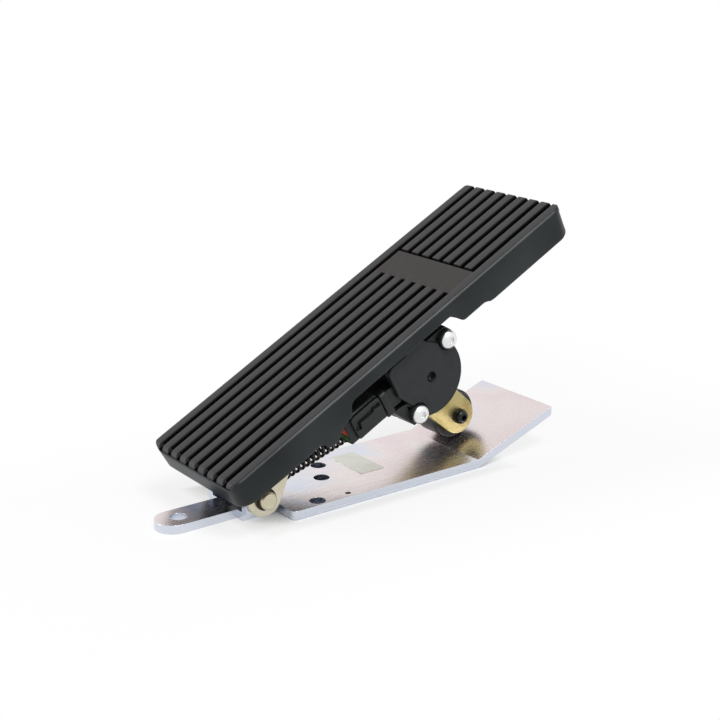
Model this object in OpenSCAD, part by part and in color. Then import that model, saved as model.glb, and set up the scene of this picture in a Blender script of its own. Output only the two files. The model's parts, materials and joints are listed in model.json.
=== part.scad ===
// Floor accelerator pedal: a ribbed treadle on a heel hinge, with a sprung roller lever
// under it that turns a position sensor as the roller runs up the toe of the base plate.
// X runs across the pedal (sensor side positive), Y from heel to toe, Z up from the floor.
// The origin is on the underside of the base plate, at the centre of the tongue's hole.

/* [Base plate] */
// Thickness of the steel base plate
plate_t = 4.76; // [4:0.02:6]
// Width of the plate under the treadle
plate_w = 61.6; // [56:0.2:70]
// Width of the tongue at the heel
tongue_w = 20; // [18:0.5:24]
// Distance from the tongue's hole back to the centre of its round end
tongue_back = 2.9; // [1:0.1:5]
// Where the plate widens behind the hinge
shoulder_y = 49.8; // [49.6:0.1:52]
// Distance from the released roller's axis back to the flap's bend
bend_back = 5.85; // [3.5:0.05:6.45]
// Slope of the toe flap
flap_angle = 20.2; // [17:0.2:20.6]
// Length of the toe flap
flap_len = 58; // [52:1:64]
// Inner radius of the bend at the flap
flap_bend_r = 3; // [1:0.5:5]
// Radius of the plate's outer corners
plate_corner_r = 3; // [1:0.5:5]
// Diameter of the holes for the floor bolts
bolt_hole_d = 8.8; // [8:0.1:9.5]
// Diameter of the small locating hole
pilot_hole_d = 3.2; // [2.5:0.1:4]

/* [Heel hinge] */
// Distance from the tongue's hole to the hinge pin
hinge_y = 37.8; // [37.6:0.1:38.2]
// Height of the hinge pin above the floor
hinge_z = 12.5; // [12.3:0.1:13.2]
// Diameter of the hinge pin
pin_d = 9.52; // [9:0.02:9.8]
// Play between the pin and what turns on it
pin_play = 0.04; // [0.02:0.01:0.08]
// Half the distance over the base plate's two ears
ear_out = 19.5; // [19:0.1:19.8]
// Outer radius of the fold under each ear
ear_fold_r = 5.5; // [5:0.1:6]
// Radius of the rounded end of each base ear
ear_r = 9.3; // [8.8:0.1:9.4]
// Gap between a base ear and the bracket's ear
ear_gap = 0.3; // [0.2:0.05:0.6]
// Thickness of the treadle's hinge bracket
bracket_t = 3.2; // [2.6:0.1:3.4]
// Radius of the bracket's ears round the pin
bracket_r = 9.6; // [9:0.1:10]
// Slope of the toe edge of the bracket's ears
bracket_slope = 39.7; // [36:0.1:44]
// Wall of the hinge bushes
hinge_bush_t = 1.2; // [1:0.1:1.6]
// How far the pin stands out past the bracket
pin_proud = 4.3; // [3:0.1:6]

/* [Treadle] */
// Slope of the treadle when the pedal is released
idle_angle = 28.07; // [28:0.01:28.6]
// Length of the treadle
tread_len = 243; // [240:1:250]
// Distance along the treadle from its heel edge to the hinge
hinge_s = 18.2; // [17.5:0.1:19]
// Depth of the hinge pin under the rib tops
hinge_n = 31; // [30.8:0.1:31.6]
// Half width of the treadle at the rib tops
tread_half = 40.8; // [40.6:0.1:42]
// How much each side flares out towards its lower edge
flare = 0.8; // [0.4:0.1:1.2]
// Radius of the heel and toe corners seen from above
corner_r = 6; // [4:0.5:8]
// Thickness of the treadle's walls
wall_t = 3.2; // [2.6:0.1:3.6]
// Thickness of the deck under the pad
deck_t = 2.6; // [2.2:0.1:3]

/* [Rubber pad] */
// Number of ribs
rib_count = 9; // [9:1:9]
// Distance from the treadle's side to the middle of the outermost rib
rib_edge = 3.92; // [3.9:0.02:4.8]
// Width of a rib's top
rib_w = 5.2; // [4.6:0.1:5.4]
// Extra width of a rib at its foot
rib_draft = 0.6; // [0.2:0.1:0.7]
// Height of the ribs
rib_h = 3.2; // [2.6:0.1:3.6]
// Thickness of the pad under the ribs
pad_t = 1.8; // [1.4:0.1:2.2]
// Start of the plain panel, measured from the heel edge
panel_s = 159.2; // [150:0.2:162]
// Length of the plain panel
panel_len = 19; // [14:0.2:20]
// Gap between the panel and the ribs at the toe
panel_gap = 1.5; // [1:0.1:2.5]

/* [Lever and roller] */
// Distance along the treadle from its heel edge to the lever's shaft
pivot_s = 126.8; // [126:0.1:127.6]
// Depth of the lever's shaft under the rib tops
pivot_n = 32; // [31.6:0.1:32.4]
// Distance from the shaft to the roller's bolt
lever_len = 60.4; // [60:0.1:60.6]
// Height of the released roller over the flat of the plate
roller_lift = 3.87; // [3.6:0.01:4.4]
// Thickness of each lever arm
arm_t = 4; // [3.5:0.1:4.2]
// Radius of the arms round the roller's bolt
arm_end_r = 10.7; // [10:0.1:11.5]
// Radius of the arms round the shaft
arm_hub_r = 12; // [11:0.1:12.5]
// Outer face of the near arm
arm_x = 6; // [5.9:0.05:6.1]
// Radius of the roller
roller_r = 14.2; // [13.6:0.1:14.4]
// Width of the roller
roller_w = 17.6; // [16:0.1:18]
// Side play of the roller between the arms
roller_play = 0.4; // [0.3:0.05:0.6]
// Diameter of the roller's shoulder bolt
bolt_d = 8; // [7:0.1:8.4]
// Diameter of the lever's shaft
shaft_d = 12; // [11:0.1:12.4]
// Distance from the shaft to the pin that the springs pull
spring_arm = 18.6; // [18.2:0.1:19]
// Turn of the spring pin below the treadle's line, on the heel side of the lever
spring_angle = 105; // [103:0.5:107]
// Diameter of the spring pin
spring_pin_d = 5; // [4.6:0.1:5.4]

/* [Return springs] */
// Distance of each spring from the middle of the pedal
spring_x = 8; // [7.9:0.05:8.1]
// Wire diameter of the springs
wire_d = 2.2; // [1.8:0.1:2.3]
// Outer diameter of the springs
coil_d = 12.4; // [11.6:0.1:12.6]
// Turns in each spring
turns = 19; // [16:1:21]
// Length of the hook at each end, from the pin to the first turn
hook_len = 13; // [12:0.5:15]

/* [Housing and sensor] */
// Inner face of the housing's near wall
near_wall_x = 14.8; // [14.7:0.05:15.2]
// Thickness of the housing's walls
housing_t = 4; // [3.5:0.1:4.4]
// Side play of the lever between its neighbours
lever_play = 0.8; // [0.5:0.1:1]
// Radius of the housing's walls round the shaft
boss_r = 13; // [12.5:0.1:14]
// Front face of the sensor's cover
cover_x = 36; // [35.5:0.1:36.4]
// Thickness of the sensor's cover
cover_t = 3.5; // [3:0.1:4]
// Radius of the sensor's cover
cover_r = 21.9; // [21:0.1:22.4]
// Distance along the treadle from the shaft to the upper sensor screw
screw_up_s = 18.9; // [18.5:0.1:19.2]
// Height of the upper sensor screw over the shaft
screw_up_n = 11.3; // [11:0.1:11.6]
// Distance along the treadle from the shaft back to the lower sensor screw
screw_low_s = 15.4; // [15:0.1:15.8]
// Depth of the lower sensor screw under the shaft
screw_low_n = 13.6; // [13.2:0.1:14]
// Radius of the ears that hold the sensor screws
screw_ear_r = 6.6; // [6.2:0.1:6.8]
// Diameter of the sensor screws
sensor_screw_d = 5; // [4.5:0.1:5.4]

/* [Connector] */
// Width of the connector
plug_w = 19; // [17:0.1:19]
// Height of the connector
plug_h = 15.6; // [14:0.1:16]
// Distance along the treadle from its heel edge to the connector's mouth
plug_s = 70.6; // [69:0.1:72]
// Length of the connector that shows past its socket
plug_len = 15; // [12:0.5:16]

/* [Hidden] */
$fn = 72;

// Places of the floor-bolt holes, of the small hole and of the blank label on the plate
bolt_holes = [[14.5 - plate_w / 2, 97.2], [-0.3, 88.4], [plate_w / 2 - 5.6, 68.3]];
pilot_hole = [plate_w / 2 - 4.6, 87.2];
label_from = [-21.5, 108.6];
label_size = [30.2, 15.8];
label_t = 0.25;

// Levels down from the rib tops, and other places that follow from the sizes above
groove_n = rib_h;
pad_n = rib_h + pad_t;
deck_n = pad_n + deck_t;
lip_drop = 0.3;
lip_t = 1;
skirt_n = 21;
pad_half = tread_half - lip_t;
inner_half = tread_half + flare - wall_t - 0.8;
bracket_in = ear_out + ear_gap;
bracket_out = bracket_in + bracket_t;
pin_half = bracket_out + pin_proud;
clip_t = 1.1;
clip_r = pin_d / 2 + 1.1;
clip_x = bracket_out + 0.2;
roller_x = arm_x - arm_t - roller_play;
far_arm_x = roller_x - roller_w - roller_play;
far_wall_x = far_arm_x - arm_t - lever_play;
flange_t = 3.5;
flange_n = deck_n + flange_t;
bush_t = 2.4;
shaft_play = 0.04;
sensor_x = near_wall_x + housing_t;
body_front_x = cover_x - cover_t;
ear_front_x = cover_x + 1;
screw_clear = 0.2;
sensor_screws_at = [[screw_up_s, screw_up_n], [-screw_low_s, -screw_low_n]];
plug_x = near_wall_x + 0.2;
plug_n = 34.2;
spring_pin_at = spring_arm * [cos(spring_angle), -sin(spring_angle)];
spring_span = [pivot_s - hinge_s, hinge_n - pivot_n] + spring_pin_at;
hair = 0.02;

// The ribs share the width between the outermost two, and the lever turns until the roller
// stands at its height over the plate. The plate's bend goes with the roller
rib_pitch = 2 * (tread_half - rib_edge) / (rib_count - 1);
shaft_y = hinge_y + (pivot_s - hinge_s) * cos(idle_angle) - (hinge_n - pivot_n) * sin(idle_angle);
shaft_z = hinge_z + (pivot_s - hinge_s) * sin(idle_angle) + (hinge_n - pivot_n) * cos(idle_angle);
lever_drop = asin((shaft_z - plate_t - roller_r - roller_lift) / lever_len);
lever_angle = idle_angle + lever_drop;
bend_y = shaft_y + lever_len * cos(lever_drop) - bend_back;

// Puts a shape that is drawn along the treadle (x across, y from the heel edge, z up from
// the rib tops) in its place with the pedal released
module on_treadle() {
    translate([0, hinge_y, hinge_z]) rotate([idle_angle, 0, 0]) translate([0, -hinge_s, hinge_n]) children();
}

// As on_treadle, with the origin on the lever's shaft
module on_shaft() {
    on_treadle() translate([0, pivot_s, -pivot_n]) children();
}

// As on_shaft, with y pointing from the shaft to the roller
module on_lever() {
    on_shaft() rotate([-lever_angle, 0, 0]) children();
}

// Extrudes a drawing of the side view (y, z) across the pedal from x = from to x = to
module across(from, to) {
    translate([from, 0, 0]) rotate([90, 0, 90]) linear_extrude(to - from) children();
}

// Extrudes a drawing of the cross-section (x, z) lengthwise from y = from to y = to
module along(from, to) {
    translate([0, to, 0]) rotate([90, 0, 0]) linear_extrude(to - from) children();
}

// A round bar across the pedal at [y, z]
module bar(r, from, to, at = [0, 0]) {
    translate([from, at[0], at[1]]) rotate([0, 90, 0]) cylinder(r = r, h = to - from);
}

// A rectangle with round corners, from one corner to the other
module round_rect(a, b, r) {
    translate([a[0] + r, a[1]]) square([b[0] - a[0] - 2 * r, b[1] - a[1]]);
    translate([a[0], a[1] + r]) square([b[0] - a[0], b[1] - a[1] - 2 * r]);
    for (x = [a[0] + r, b[0] - r], y = [a[1] + r, b[1] - r]) translate([x, y]) circle(r);
}

// Two circles joined along their outer tangents, with the straight edges a hair inside
module link(a, ra, b, rb) {
    d = norm(b - a);
    aim = atan2(b[1] - a[1], b[0] - a[0]);
    lean = acos((ra - rb) / d);
    up = [cos(aim + lean), sin(aim + lean)];
    down = [cos(aim - lean), sin(aim - lean)];
    translate(a) circle(ra);
    translate(b) circle(rb);
    polygon([a + (ra - hair) * down, b + (rb - hair) * down, b + (rb - hair) * up, a + (ra - hair) * up]);
}

// A screw head with a rounded top and a six-sided socket, seated on z = 0 and facing up
module button_head(r, h, socket) {
    difference() {
        rotate_extrude() intersection() {
            square([r, h]);
            translate([0, h - dome_r(r, h)]) circle(dome_r(r, h));
        }
        translate([0, 0, h * 0.4]) cylinder(r = socket, h = h, $fn = 6);
    }
}

// Radius of the sphere that rounds a button head from a third of its height
function dome_r(r, h) = (r * r + h * h * 0.5) / (2 * h * 0.7);

// Base plate

module plate_outline() {
    difference() {
        union() {
            translate([0, -tongue_back]) circle(tongue_w / 2);
            translate([-tongue_w / 2, -tongue_back]) square([tongue_w, shoulder_y + tongue_back + 1]);
            round_rect([-plate_w / 2, shoulder_y], [plate_w / 2, toe_end(flap_bend_r + plate_t)[0]], plate_corner_r);
        }
        circle(d = bolt_hole_d);
        for (p = bolt_holes) translate(p) circle(d = bolt_hole_d);
        translate(pilot_hole) circle(d = pilot_hole_d);
    }
}

// Where the flat part of the plate ends and the bend begins
flat_end = bend_y - flap_bend_r * tan(flap_angle / 2);

// Point of the toe end at a distance r from the centre of the bend, in the side view
function bend_point(r, turn) = [flat_end, plate_t + flap_bend_r] + r * [sin(turn), -cos(turn)];
function toe_end(r) = bend_point(r, flap_angle) + flap_len * [cos(flap_angle), sin(flap_angle)];

// Side view of the sheet: flat, bent at the toe, and sloping up from there
module sheet_side_view() {
    steps = 12;
    outer = flap_bend_r + plate_t;
    polygon(concat(
        [[-tongue_w, 0]],
        [for (i = [0:steps]) bend_point(outer, flap_angle * i / steps)],
        [toe_end(outer), toe_end(flap_bend_r)],
        [for (i = [steps:-1:0]) bend_point(flap_bend_r, flap_angle * i / steps)],
        [[-tongue_w, plate_t]]
    ));
}

module ear_section() {
    for (side = [0, 1]) mirror([side, 0]) {
        square([ear_out - ear_fold_r, plate_t]);
        translate([ear_out - ear_fold_r, ear_fold_r]) intersection() {
            difference() {
                circle(ear_fold_r);
                circle(ear_fold_r - plate_t);
            }
            translate([0, -ear_fold_r]) square(ear_fold_r);
        }
        translate([ear_out - plate_t, ear_fold_r]) square([plate_t, hinge_z + ear_r]);
    }
}

module ear_side_view() {
    translate([hinge_y - ear_r, 0]) square([2 * ear_r, hinge_z]);
    translate([hinge_y, hinge_z]) circle(ear_r);
}

module base_plate() {
    color("#d8d8dc") difference() {
        union() {
            intersection() {
                across(-plate_w, plate_w) sheet_side_view();
                linear_extrude(flap_len) plate_outline();
            }
            intersection() {
                along(hinge_y - ear_r, hinge_y + ear_r) ear_section();
                across(-ear_out, ear_out) ear_side_view();
            }
        }
        bar(pin_d / 2 + pin_play, -ear_out - 1, ear_out + 1, [hinge_y, hinge_z]);
    }
}

module plate_label() {
    color("#cfd3c6") translate([label_from[0], label_from[1], plate_t])
        linear_extrude(label_t) round_rect([0, 0], label_size, 1);
}

// Hinge

module hinge_pin() {
    chamfer = 0.8;
    color("#cfc9b2") difference() {
        union() {
            bar(pin_d / 2, -pin_half + chamfer, pin_half - chamfer, [hinge_y, hinge_z]);
            for (side = [0, 1]) mirror([side, 0, 0]) translate([pin_half - chamfer, hinge_y, hinge_z])
                rotate([0, 90, 0]) cylinder(r1 = pin_d / 2, r2 = pin_d / 2 - chamfer, h = chamfer);
        }
        for (side = [0, 1]) mirror([side, 0, 0]) translate([clip_x, hinge_y, hinge_z]) rotate([0, 90, 0])
            difference() {
                cylinder(r = pin_d / 2 + 1, h = clip_t);
                cylinder(r = pin_d / 2 - 0.8, h = clip_t);
            }
    }
}

module hinge_clips() {
    color("#6f6c66") for (side = [0, 1]) mirror([side, 0, 0])
        translate([clip_x + 0.05, hinge_y, hinge_z]) rotate([idle_angle, 0, 0]) rotate([0, 90, 0]) difference() {
            cylinder(r = clip_r, h = clip_t - 0.1);
            translate([0, 0, -1]) cylinder(r = pin_d / 2 - 0.75, h = clip_t + 2);
            translate([0, -pin_d / 2 + 1.2, -1]) cube([pin_d, pin_d - 2.4, clip_t + 2]);
        }
}

module bracket_side_view() {
    tangent = [hinge_s, -hinge_n] + (bracket_r - hair) * [sin(bracket_slope), -cos(bracket_slope)];
    heel_s = hinge_s - bracket_r + hair;
    foot_n = -deck_n - bracket_t;
    translate([hinge_s, -hinge_n]) circle(bracket_r);
    foot_s = tangent[0] + (foot_n - tangent[1]) / tan(bracket_slope);
    polygon([[heel_s, -hinge_n], [hinge_s, -hinge_n], tangent, [foot_s, foot_n], [foot_s, -deck_n], [heel_s, -deck_n]]);
}

rivet_at = [for (x = [-12, 12], s = [22, 46]) [x, s]];
rivet_r = 2.4;

module bracket_section() {
    fold = 2;
    difference() {
        union() {
            round_rect([-bracket_out, -deck_n - 20], [bracket_out, -deck_n], fold);
            translate([-bracket_out, -hinge_n - bracket_r]) square([2 * bracket_out, hinge_n + bracket_r - deck_n - 10]);
        }
        translate([-bracket_in, -hinge_n - bracket_r - 1]) square([2 * bracket_in, hinge_n + bracket_r + 1 - deck_n - bracket_t]);
    }
}

module hinge_bracket() {
    color("#cbc5ad") on_treadle() difference() {
        intersection() {
            across(-bracket_out, bracket_out) bracket_side_view();
            along(hinge_s - bracket_r, 80) bracket_section();
        }
        bar(pin_d / 2 + pin_play + hinge_bush_t, -bracket_out - 1, bracket_out + 1, [hinge_s, -hinge_n]);
        for (p = rivet_at) translate([p[0], p[1], -30]) cylinder(r = rivet_r, h = 30);
    }
}

module hinge_bushes() {
    color("#8d8a80") on_treadle() for (side = [0, 1]) mirror([side, 0, 0]) difference() {
        bar(pin_d / 2 + pin_play + hinge_bush_t - 0.01, bracket_in, bracket_out + 0.15, [hinge_s, -hinge_n]);
        bar(pin_d / 2 + pin_play, bracket_in - 1, bracket_out + 1, [hinge_s, -hinge_n]);
    }
}

module bracket_rivets() {
    color("#b9b8b2") on_treadle() for (p = rivet_at) translate([p[0], p[1], 0]) {
        translate([0, 0, -deck_n - bracket_t]) cylinder(r = rivet_r, h = deck_n + bracket_t - pad_n);
        translate([0, 0, -deck_n - bracket_t]) mirror([0, 0, 1]) rotate_extrude() intersection() {
            square([rivet_r * 1.9, 2]);
            translate([0, -4.2]) circle(6.2);
        }
    }
}

// Treadle

// Side view of the treadle's skirt: heel, hinge bay, deep lobe, sensor bay, step and toe
module treadle_side_view() {
    toe = tread_len - 0.4;
    polygon([
        [0, -groove_n], [0, -14.4], [0.5, -15.1], [13, -15.5], [26, -15.9], [50.5, -15.9], [52.5, -17.4], [53.5, -20],
        [55.5, -skirt_n], [63.5, -skirt_n], [66, -19.6], [68.5, -15.6], [72, -12.3], [76, -11.4], [98, -11.4],
        [101.5, -9.1], [151.5, -9.1], [154, -10.6], [156.5, -14.6], [158.5, -15.5], [174, -15.5], [176, -16.2],
        [178, -17.4], [181, -17.7], [toe - 6, -17.7], [toe - 3.4, -17.2], [toe - 1.6, -15.6],
        [toe, -groove_n], [toe - 1, -1.4], [toe - 2.6, -lip_drop], [3.4, -lip_drop], [1, -1.6]
    ]);
}

// Cross-section of the treadle's outside, flared towards the lower edge
module treadle_outer_section() {
    round_n = 0.7;
    polygon([
        [-tread_half - flare, -skirt_n], [-tread_half, -1.5], [-tread_half + round_n * 0.3, -lip_drop - round_n * 0.3],
        [-tread_half + round_n, -lip_drop], [tread_half - round_n, -lip_drop],
        [tread_half - round_n * 0.3, -lip_drop - round_n * 0.3], [tread_half, -1.5], [tread_half + flare, -skirt_n]
    ]);
}

module treadle_body() {
    color("#24282a") on_treadle() difference() {
        intersection() {
            across(-tread_half - flare, tread_half + flare) treadle_side_view();
            along(-1, tread_len + 1) treadle_outer_section();
            translate([0, 0, -skirt_n]) linear_extrude(skirt_n)
                round_rect([-tread_half - flare, 0], [tread_half + flare, tread_len], corner_r);
        }
        // Seat of the rubber pad, and the way out over both ends for its ribs
        translate([0, 0, -pad_n]) linear_extrude(pad_n + 1)
            round_rect([-pad_half, wall_t], [pad_half, tread_len - wall_t], corner_r - wall_t);
        translate([-pad_half, -1, -groove_n]) cube([2 * pad_half, tread_len + 2, groove_n + 1]);
        // Hollow under the deck
        translate([0, 0, -skirt_n - 1]) linear_extrude(skirt_n + 1 - deck_n)
            round_rect([-inner_half, wall_t], [inner_half, tread_len - wall_t - 3], corner_r - wall_t);
        for (p = rivet_at) translate([p[0], p[1], -deck_n - 1]) cylinder(r = rivet_r, h = deck_n);
        for (p = housing_screws_at) translate([p[0], p[1], -deck_n - 1]) cylinder(r = housing_screw_r, h = deck_n);
    }
}

// Rubber pad

module rib_side_view() {
    bevel = 2.8;
    toe_r = 2.4;
    polygon([
        [0.4, -groove_n], [0.4, -groove_n + 0.4], [bevel * 0.7, -0.9], [bevel, -0.25], [bevel + 1, 0],
        [tread_len - toe_r, 0], [tread_len - toe_r * 0.5, -toe_r * 0.14], [tread_len - toe_r * 0.14, -toe_r * 0.5],
        [tread_len, -toe_r], [tread_len, -groove_n]
    ]);
}

module rib_section() {
    soft = 0.5;
    polygon([
        [-rib_w / 2 - rib_draft / 2, -groove_n], [-rib_w / 2, -soft], [-rib_w / 2 + soft * 0.3, -soft * 0.3],
        [-rib_w / 2 + soft, 0], [rib_w / 2 - soft, 0], [rib_w / 2 - soft * 0.3, -soft * 0.3],
        [rib_w / 2, -soft], [rib_w / 2 + rib_draft / 2, -groove_n]
    ]);
}

module rib(x) {
    translate([x, 0, 0]) intersection() {
        across(-rib_w, rib_w) rib_side_view();
        along(0, tread_len) rib_section();
    }
}

module tread_pad() {
    rib_x = [for (i = [0:rib_count - 1]) (i - (rib_count - 1) / 2) * rib_pitch];
    panel_to = rib_x[rib_count - 1] + rib_w / 2 - 1;
    panel_from = rib_x[1] - rib_w / 2 - rib_draft / 2;
    panel_top = -0.4;
    color("#3c3d40") on_treadle() {
        difference() {
            union() {
                translate([0, 0, -pad_n]) linear_extrude(pad_t)
                    round_rect([-pad_half + 0.1, wall_t + 0.1], [pad_half - 0.1, tread_len - wall_t - 0.1], corner_r - wall_t);
                intersection() {
                    for (x = rib_x) rib(x);
                    translate([0, 0, -pad_n]) linear_extrude(pad_n + 1) round_rect(
                        [-pad_half, wall_t / 8], [pad_half, tread_len + 0.1], corner_r - lip_t);
                }
            }
            translate([panel_from - 0.5, panel_s, -groove_n])
                cube([rib_x[rib_count - 1] - rib_w / 2 - rib_draft / 2 - panel_from + 0.5, panel_len + panel_gap, groove_n + 1]);
        }
        translate([panel_from, panel_s, -groove_n - 0.4])
            cube([panel_to - panel_from, panel_len, groove_n + 0.4 + panel_top]);
    }
}

// Housing under the treadle

housing_screw_r = 2.5;
housing_screws_at = [for (x = [-14, 7], s = [pivot_s - 22, pivot_s + 22]) [x, s]];
housing_from_s = -27;
housing_to_s = 27;

module wall_side_view(r) {
    top = pivot_n - flange_n;
    translate([-r, 0]) square([2 * r, top]);
    circle(r);
}

module pivot_housing() {
    top = pivot_n - deck_n;
    color("#1c1d1f") on_shaft() difference() {
        union() {
            translate([0, 0, top - flange_t]) linear_extrude(flange_t)
                round_rect([far_wall_x - housing_t, housing_from_s], [near_wall_x + housing_t, housing_to_s], 3);
            across(far_wall_x - housing_t, far_wall_x) wall_side_view(boss_r);
            across(near_wall_x, near_wall_x + housing_t) {
                wall_side_view(boss_r);
                for (p = sensor_screws_at) link([0, 0], boss_r, p, screw_ear_r);
            }
            for (x = [far_wall_x - housing_t, near_wall_x + housing_t - 2.5], s = [-boss_r - 5, boss_r])
                translate([x, s, top - flange_t - 5]) cube([2.5, 5, 6]);
        }
        bar(shaft_d / 2 + shaft_play + bush_t, far_wall_x - housing_t - 1, near_wall_x + housing_t + 1);
        for (p = housing_screws_at) translate([p[0], p[1] - pivot_s, top - flange_t - 1]) cylinder(r = housing_screw_r + 0.1, h = flange_t + 2);
        for (p = sensor_screws_at) bar(sensor_screw_d / 2, near_wall_x - 1, near_wall_x + housing_t + 1, p);
    }
}

module housing_screws() {
    color("#9fa1a3") on_treadle() for (p = housing_screws_at) translate([p[0], p[1], 0]) {
        translate([0, 0, -flange_n]) cylinder(r = housing_screw_r, h = flange_n - deck_n + 1.4);
        translate([0, 0, -flange_n]) mirror([0, 0, 1]) button_head(4.6, 2.8, 1.7);
    }
}

module shaft_bushes() {
    color("#a98f5c") on_shaft() for (x = [far_wall_x - housing_t, near_wall_x]) difference() {
        bar(shaft_d / 2 + shaft_play + bush_t - 0.01, x, x + housing_t);
        bar(shaft_d / 2 + shaft_play, x - 1, x + housing_t + 1);
    }
}

// Roller lever

module arm_side_view() {
    pin_turn = lever_angle - spring_angle;
    pin_at = spring_arm * [cos(pin_turn), sin(pin_turn)];
    difference() {
        union() {
            link([0, 0], arm_hub_r, [lever_len, 0], arm_end_r);
            link([0, 0], arm_hub_r, pin_at, 5.6);
        }
        circle(shaft_d / 2 + 0.01);
        translate([lever_len, 0]) circle(bolt_d / 2 + 0.02);
        translate(pin_at) circle(spring_pin_d / 2 + 0.01);
    }
}

module near_lever_arm() {
    color("#b8ac76") on_lever() across(arm_x - arm_t, arm_x) arm_side_view();
}

module far_lever_arm() {
    color("#b8ac76") on_lever() across(far_arm_x - arm_t, far_arm_x) arm_side_view();
}

module lever_hub() {
    color("#b8ac76") on_shaft() difference() {
        bar(shaft_d / 2 + 3.2, far_arm_x, arm_x - arm_t);
        bar(shaft_d / 2 + 0.01, far_arm_x - 1, arm_x + 1);
    }
}

module lever_shaft() {
    flat_from = sensor_x + 1;
    color("#b4b6b8") on_shaft() difference() {
        bar(shaft_d / 2, far_wall_x - housing_t - 0.5, sensor_x + 6);
        translate([flat_from, -shaft_d, shaft_d / 2 - 1.8]) cube([10, 2 * shaft_d, shaft_d]);
        translate([flat_from, -shaft_d, -shaft_d * 1.5 + 1.8]) cube([10, 2 * shaft_d, shaft_d]);
    }
}

module shaft_spacer() {
    color("#8f9092") on_shaft() difference() {
        bar(shaft_d / 2 + 2.6, arm_x, near_wall_x - 0.3);
        bar(shaft_d / 2 + 0.01, arm_x - 1, near_wall_x + 1);
    }
}

module spring_pin() {
    groove = 0.5;
    color("#b4b6b8") on_shaft() difference() {
        bar(spring_pin_d / 2, far_arm_x - arm_t, spring_x + wire_d / 2 + 1.6, spring_pin_at);
        for (x = [-spring_x, spring_x]) difference() {
            bar(spring_pin_d, x - wire_d / 2 - 0.2, x + wire_d / 2 + 0.2, spring_pin_at);
            bar(spring_pin_d / 2 - groove, x - wire_d, x + wire_d, spring_pin_at);
        }
    }
}

// Roller

module roller_bolt() {
    head_r = 4.75;
    head_h = 4.6;
    color("#1b1b1c") on_lever() difference() {
        union() {
            bar(bolt_d / 2, far_arm_x - arm_t - 6.4, arm_x, [lever_len, 0]);
            bar(head_r, arm_x, arm_x + head_h - 0.5, [lever_len, 0]);
            translate([arm_x + head_h - 0.5, lever_len, 0]) rotate([0, 90, 0])
                cylinder(r1 = head_r, r2 = head_r - 0.5, h = 0.5);
        }
        translate([arm_x + head_h - 2.6, lever_len, 0]) rotate([0, 90, 0]) cylinder(r = 2.9, h = 4, $fn = 6);
    }
}

module roller_nut() {
    nut_t = 5.2;
    color("#9fa1a3") on_lever() difference() {
        translate([far_arm_x - arm_t - nut_t, lever_len, 0]) rotate([0, 90, 0]) cylinder(r = 7, h = nut_t, $fn = 6);
        bar(bolt_d / 2 + 0.01, far_arm_x - arm_t - nut_t - 1, far_arm_x, [lever_len, 0]);
    }
}

module roller() {
    edge = 0.8;
    color("#2b2d30") on_lever() translate([roller_x - roller_w, lever_len, 0]) rotate([0, 90, 0]) difference() {
        rotate_extrude() polygon([
            [0, 0], [roller_r - edge, 0], [roller_r, edge], [roller_r, roller_w - edge],
            [roller_r - edge, roller_w], [0, roller_w]
        ]);
        translate([0, 0, -1]) cylinder(r = bolt_d / 2 + 2, h = roller_w + 2);
    }
}

module roller_bush() {
    color("#a98f5c") on_lever() difference() {
        bar(bolt_d / 2 + 2 - 0.01, roller_x - roller_w, roller_x, [lever_len, 0]);
        bar(bolt_d / 2 + 0.05, roller_x - roller_w - 1, roller_x + 1, [lever_len, 0]);
    }
}

// Return springs: a hook round the hinge pin, the coil, and a hook round the spring pin.
// The path is worked out in the spring's own frame: u along its axis, v up, w across.

coil_r = (coil_d - wire_d) / 2;
span = norm(spring_span);
points_per_turn = 12;
wire_sides = 6;

function hook(centre, r, from, to, steps) =
    [for (i = [0:steps]) let (a = from + (to - from) * i / steps) centre + [r * cos(a), r * sin(a), 0]];

function coil(from, to) =
    [for (i = [0:turns * points_per_turn])
        let (k = i / (turns * points_per_turn), a = 90 + 360 * turns * k)
            [from + (to - from) * k, coil_r * sin(a), coil_r * cos(a)]];

heel_hook_r = pin_d / 2 + wire_d / 2 + 0.15;
lever_hook_r = spring_pin_d / 2 + wire_d / 2;
spring_path = concat(
    hook([0, 0, 0], heel_hook_r, -70, -350, 14),
    [[heel_hook_r + 2.4, 2.6, 0]],
    coil(hook_len, span - hook_len),
    [[span - lever_hook_r - 2.4, 2.6, 0]],
    hook([span, 0, 0], lever_hook_r, 170, -110, 12)
);

function along_path(p, i) = let (a = p[max(i - 1, 0)], b = p[min(i + 1, len(p) - 1)]) (b - a) / norm(b - a);
function level(t) = let (n = cross([0, 0, 1], t)) n / norm(n);

// A wire with flat ends, swept along a path that nowhere runs straight across the pedal
module wire(path, r, sides) {
    rings = [for (i = [0:len(path) - 1])
        let (t = along_path(path, i), n = level(t), m = cross(t, n))
            [for (j = [0:sides - 1]) path[i] + r * (cos(360 * j / sides) * n + sin(360 * j / sides) * m)]];
    last = len(path) - 1;
    polyhedron(
        points = [for (ring = rings) for (p = ring) p],
        faces = concat(
            [[for (j = [0:sides - 1]) j]],
            [[for (j = [sides - 1:-1:0]) last * sides + j]],
            [for (i = [0:last - 1], j = [0:sides - 1])
                [i * sides + j, (i + 1) * sides + j, (i + 1) * sides + (j + 1) % sides, i * sides + (j + 1) % sides]]
        )
    );
}

module spring(x) {
    color("#1a1a1b") on_treadle() translate([x, hinge_s, -hinge_n])
        rotate([atan2(spring_span[1], spring_span[0]), 0, 0])
            multmatrix([[0, 0, 1, 0], [1, 0, 0, 0], [0, 1, 0, 0], [0, 0, 0, 1]])
                wire(spring_path, wire_d / 2, wire_sides);
}

module near_spring() {
    spring(spring_x);
}

module far_spring() {
    spring(-spring_x);
}

// Sensor

module sensor_outline(r) {
    circle(r);
    round_rect([-r + 0.9, -0.5], [4, r - 3.3], 4);
}

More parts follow.
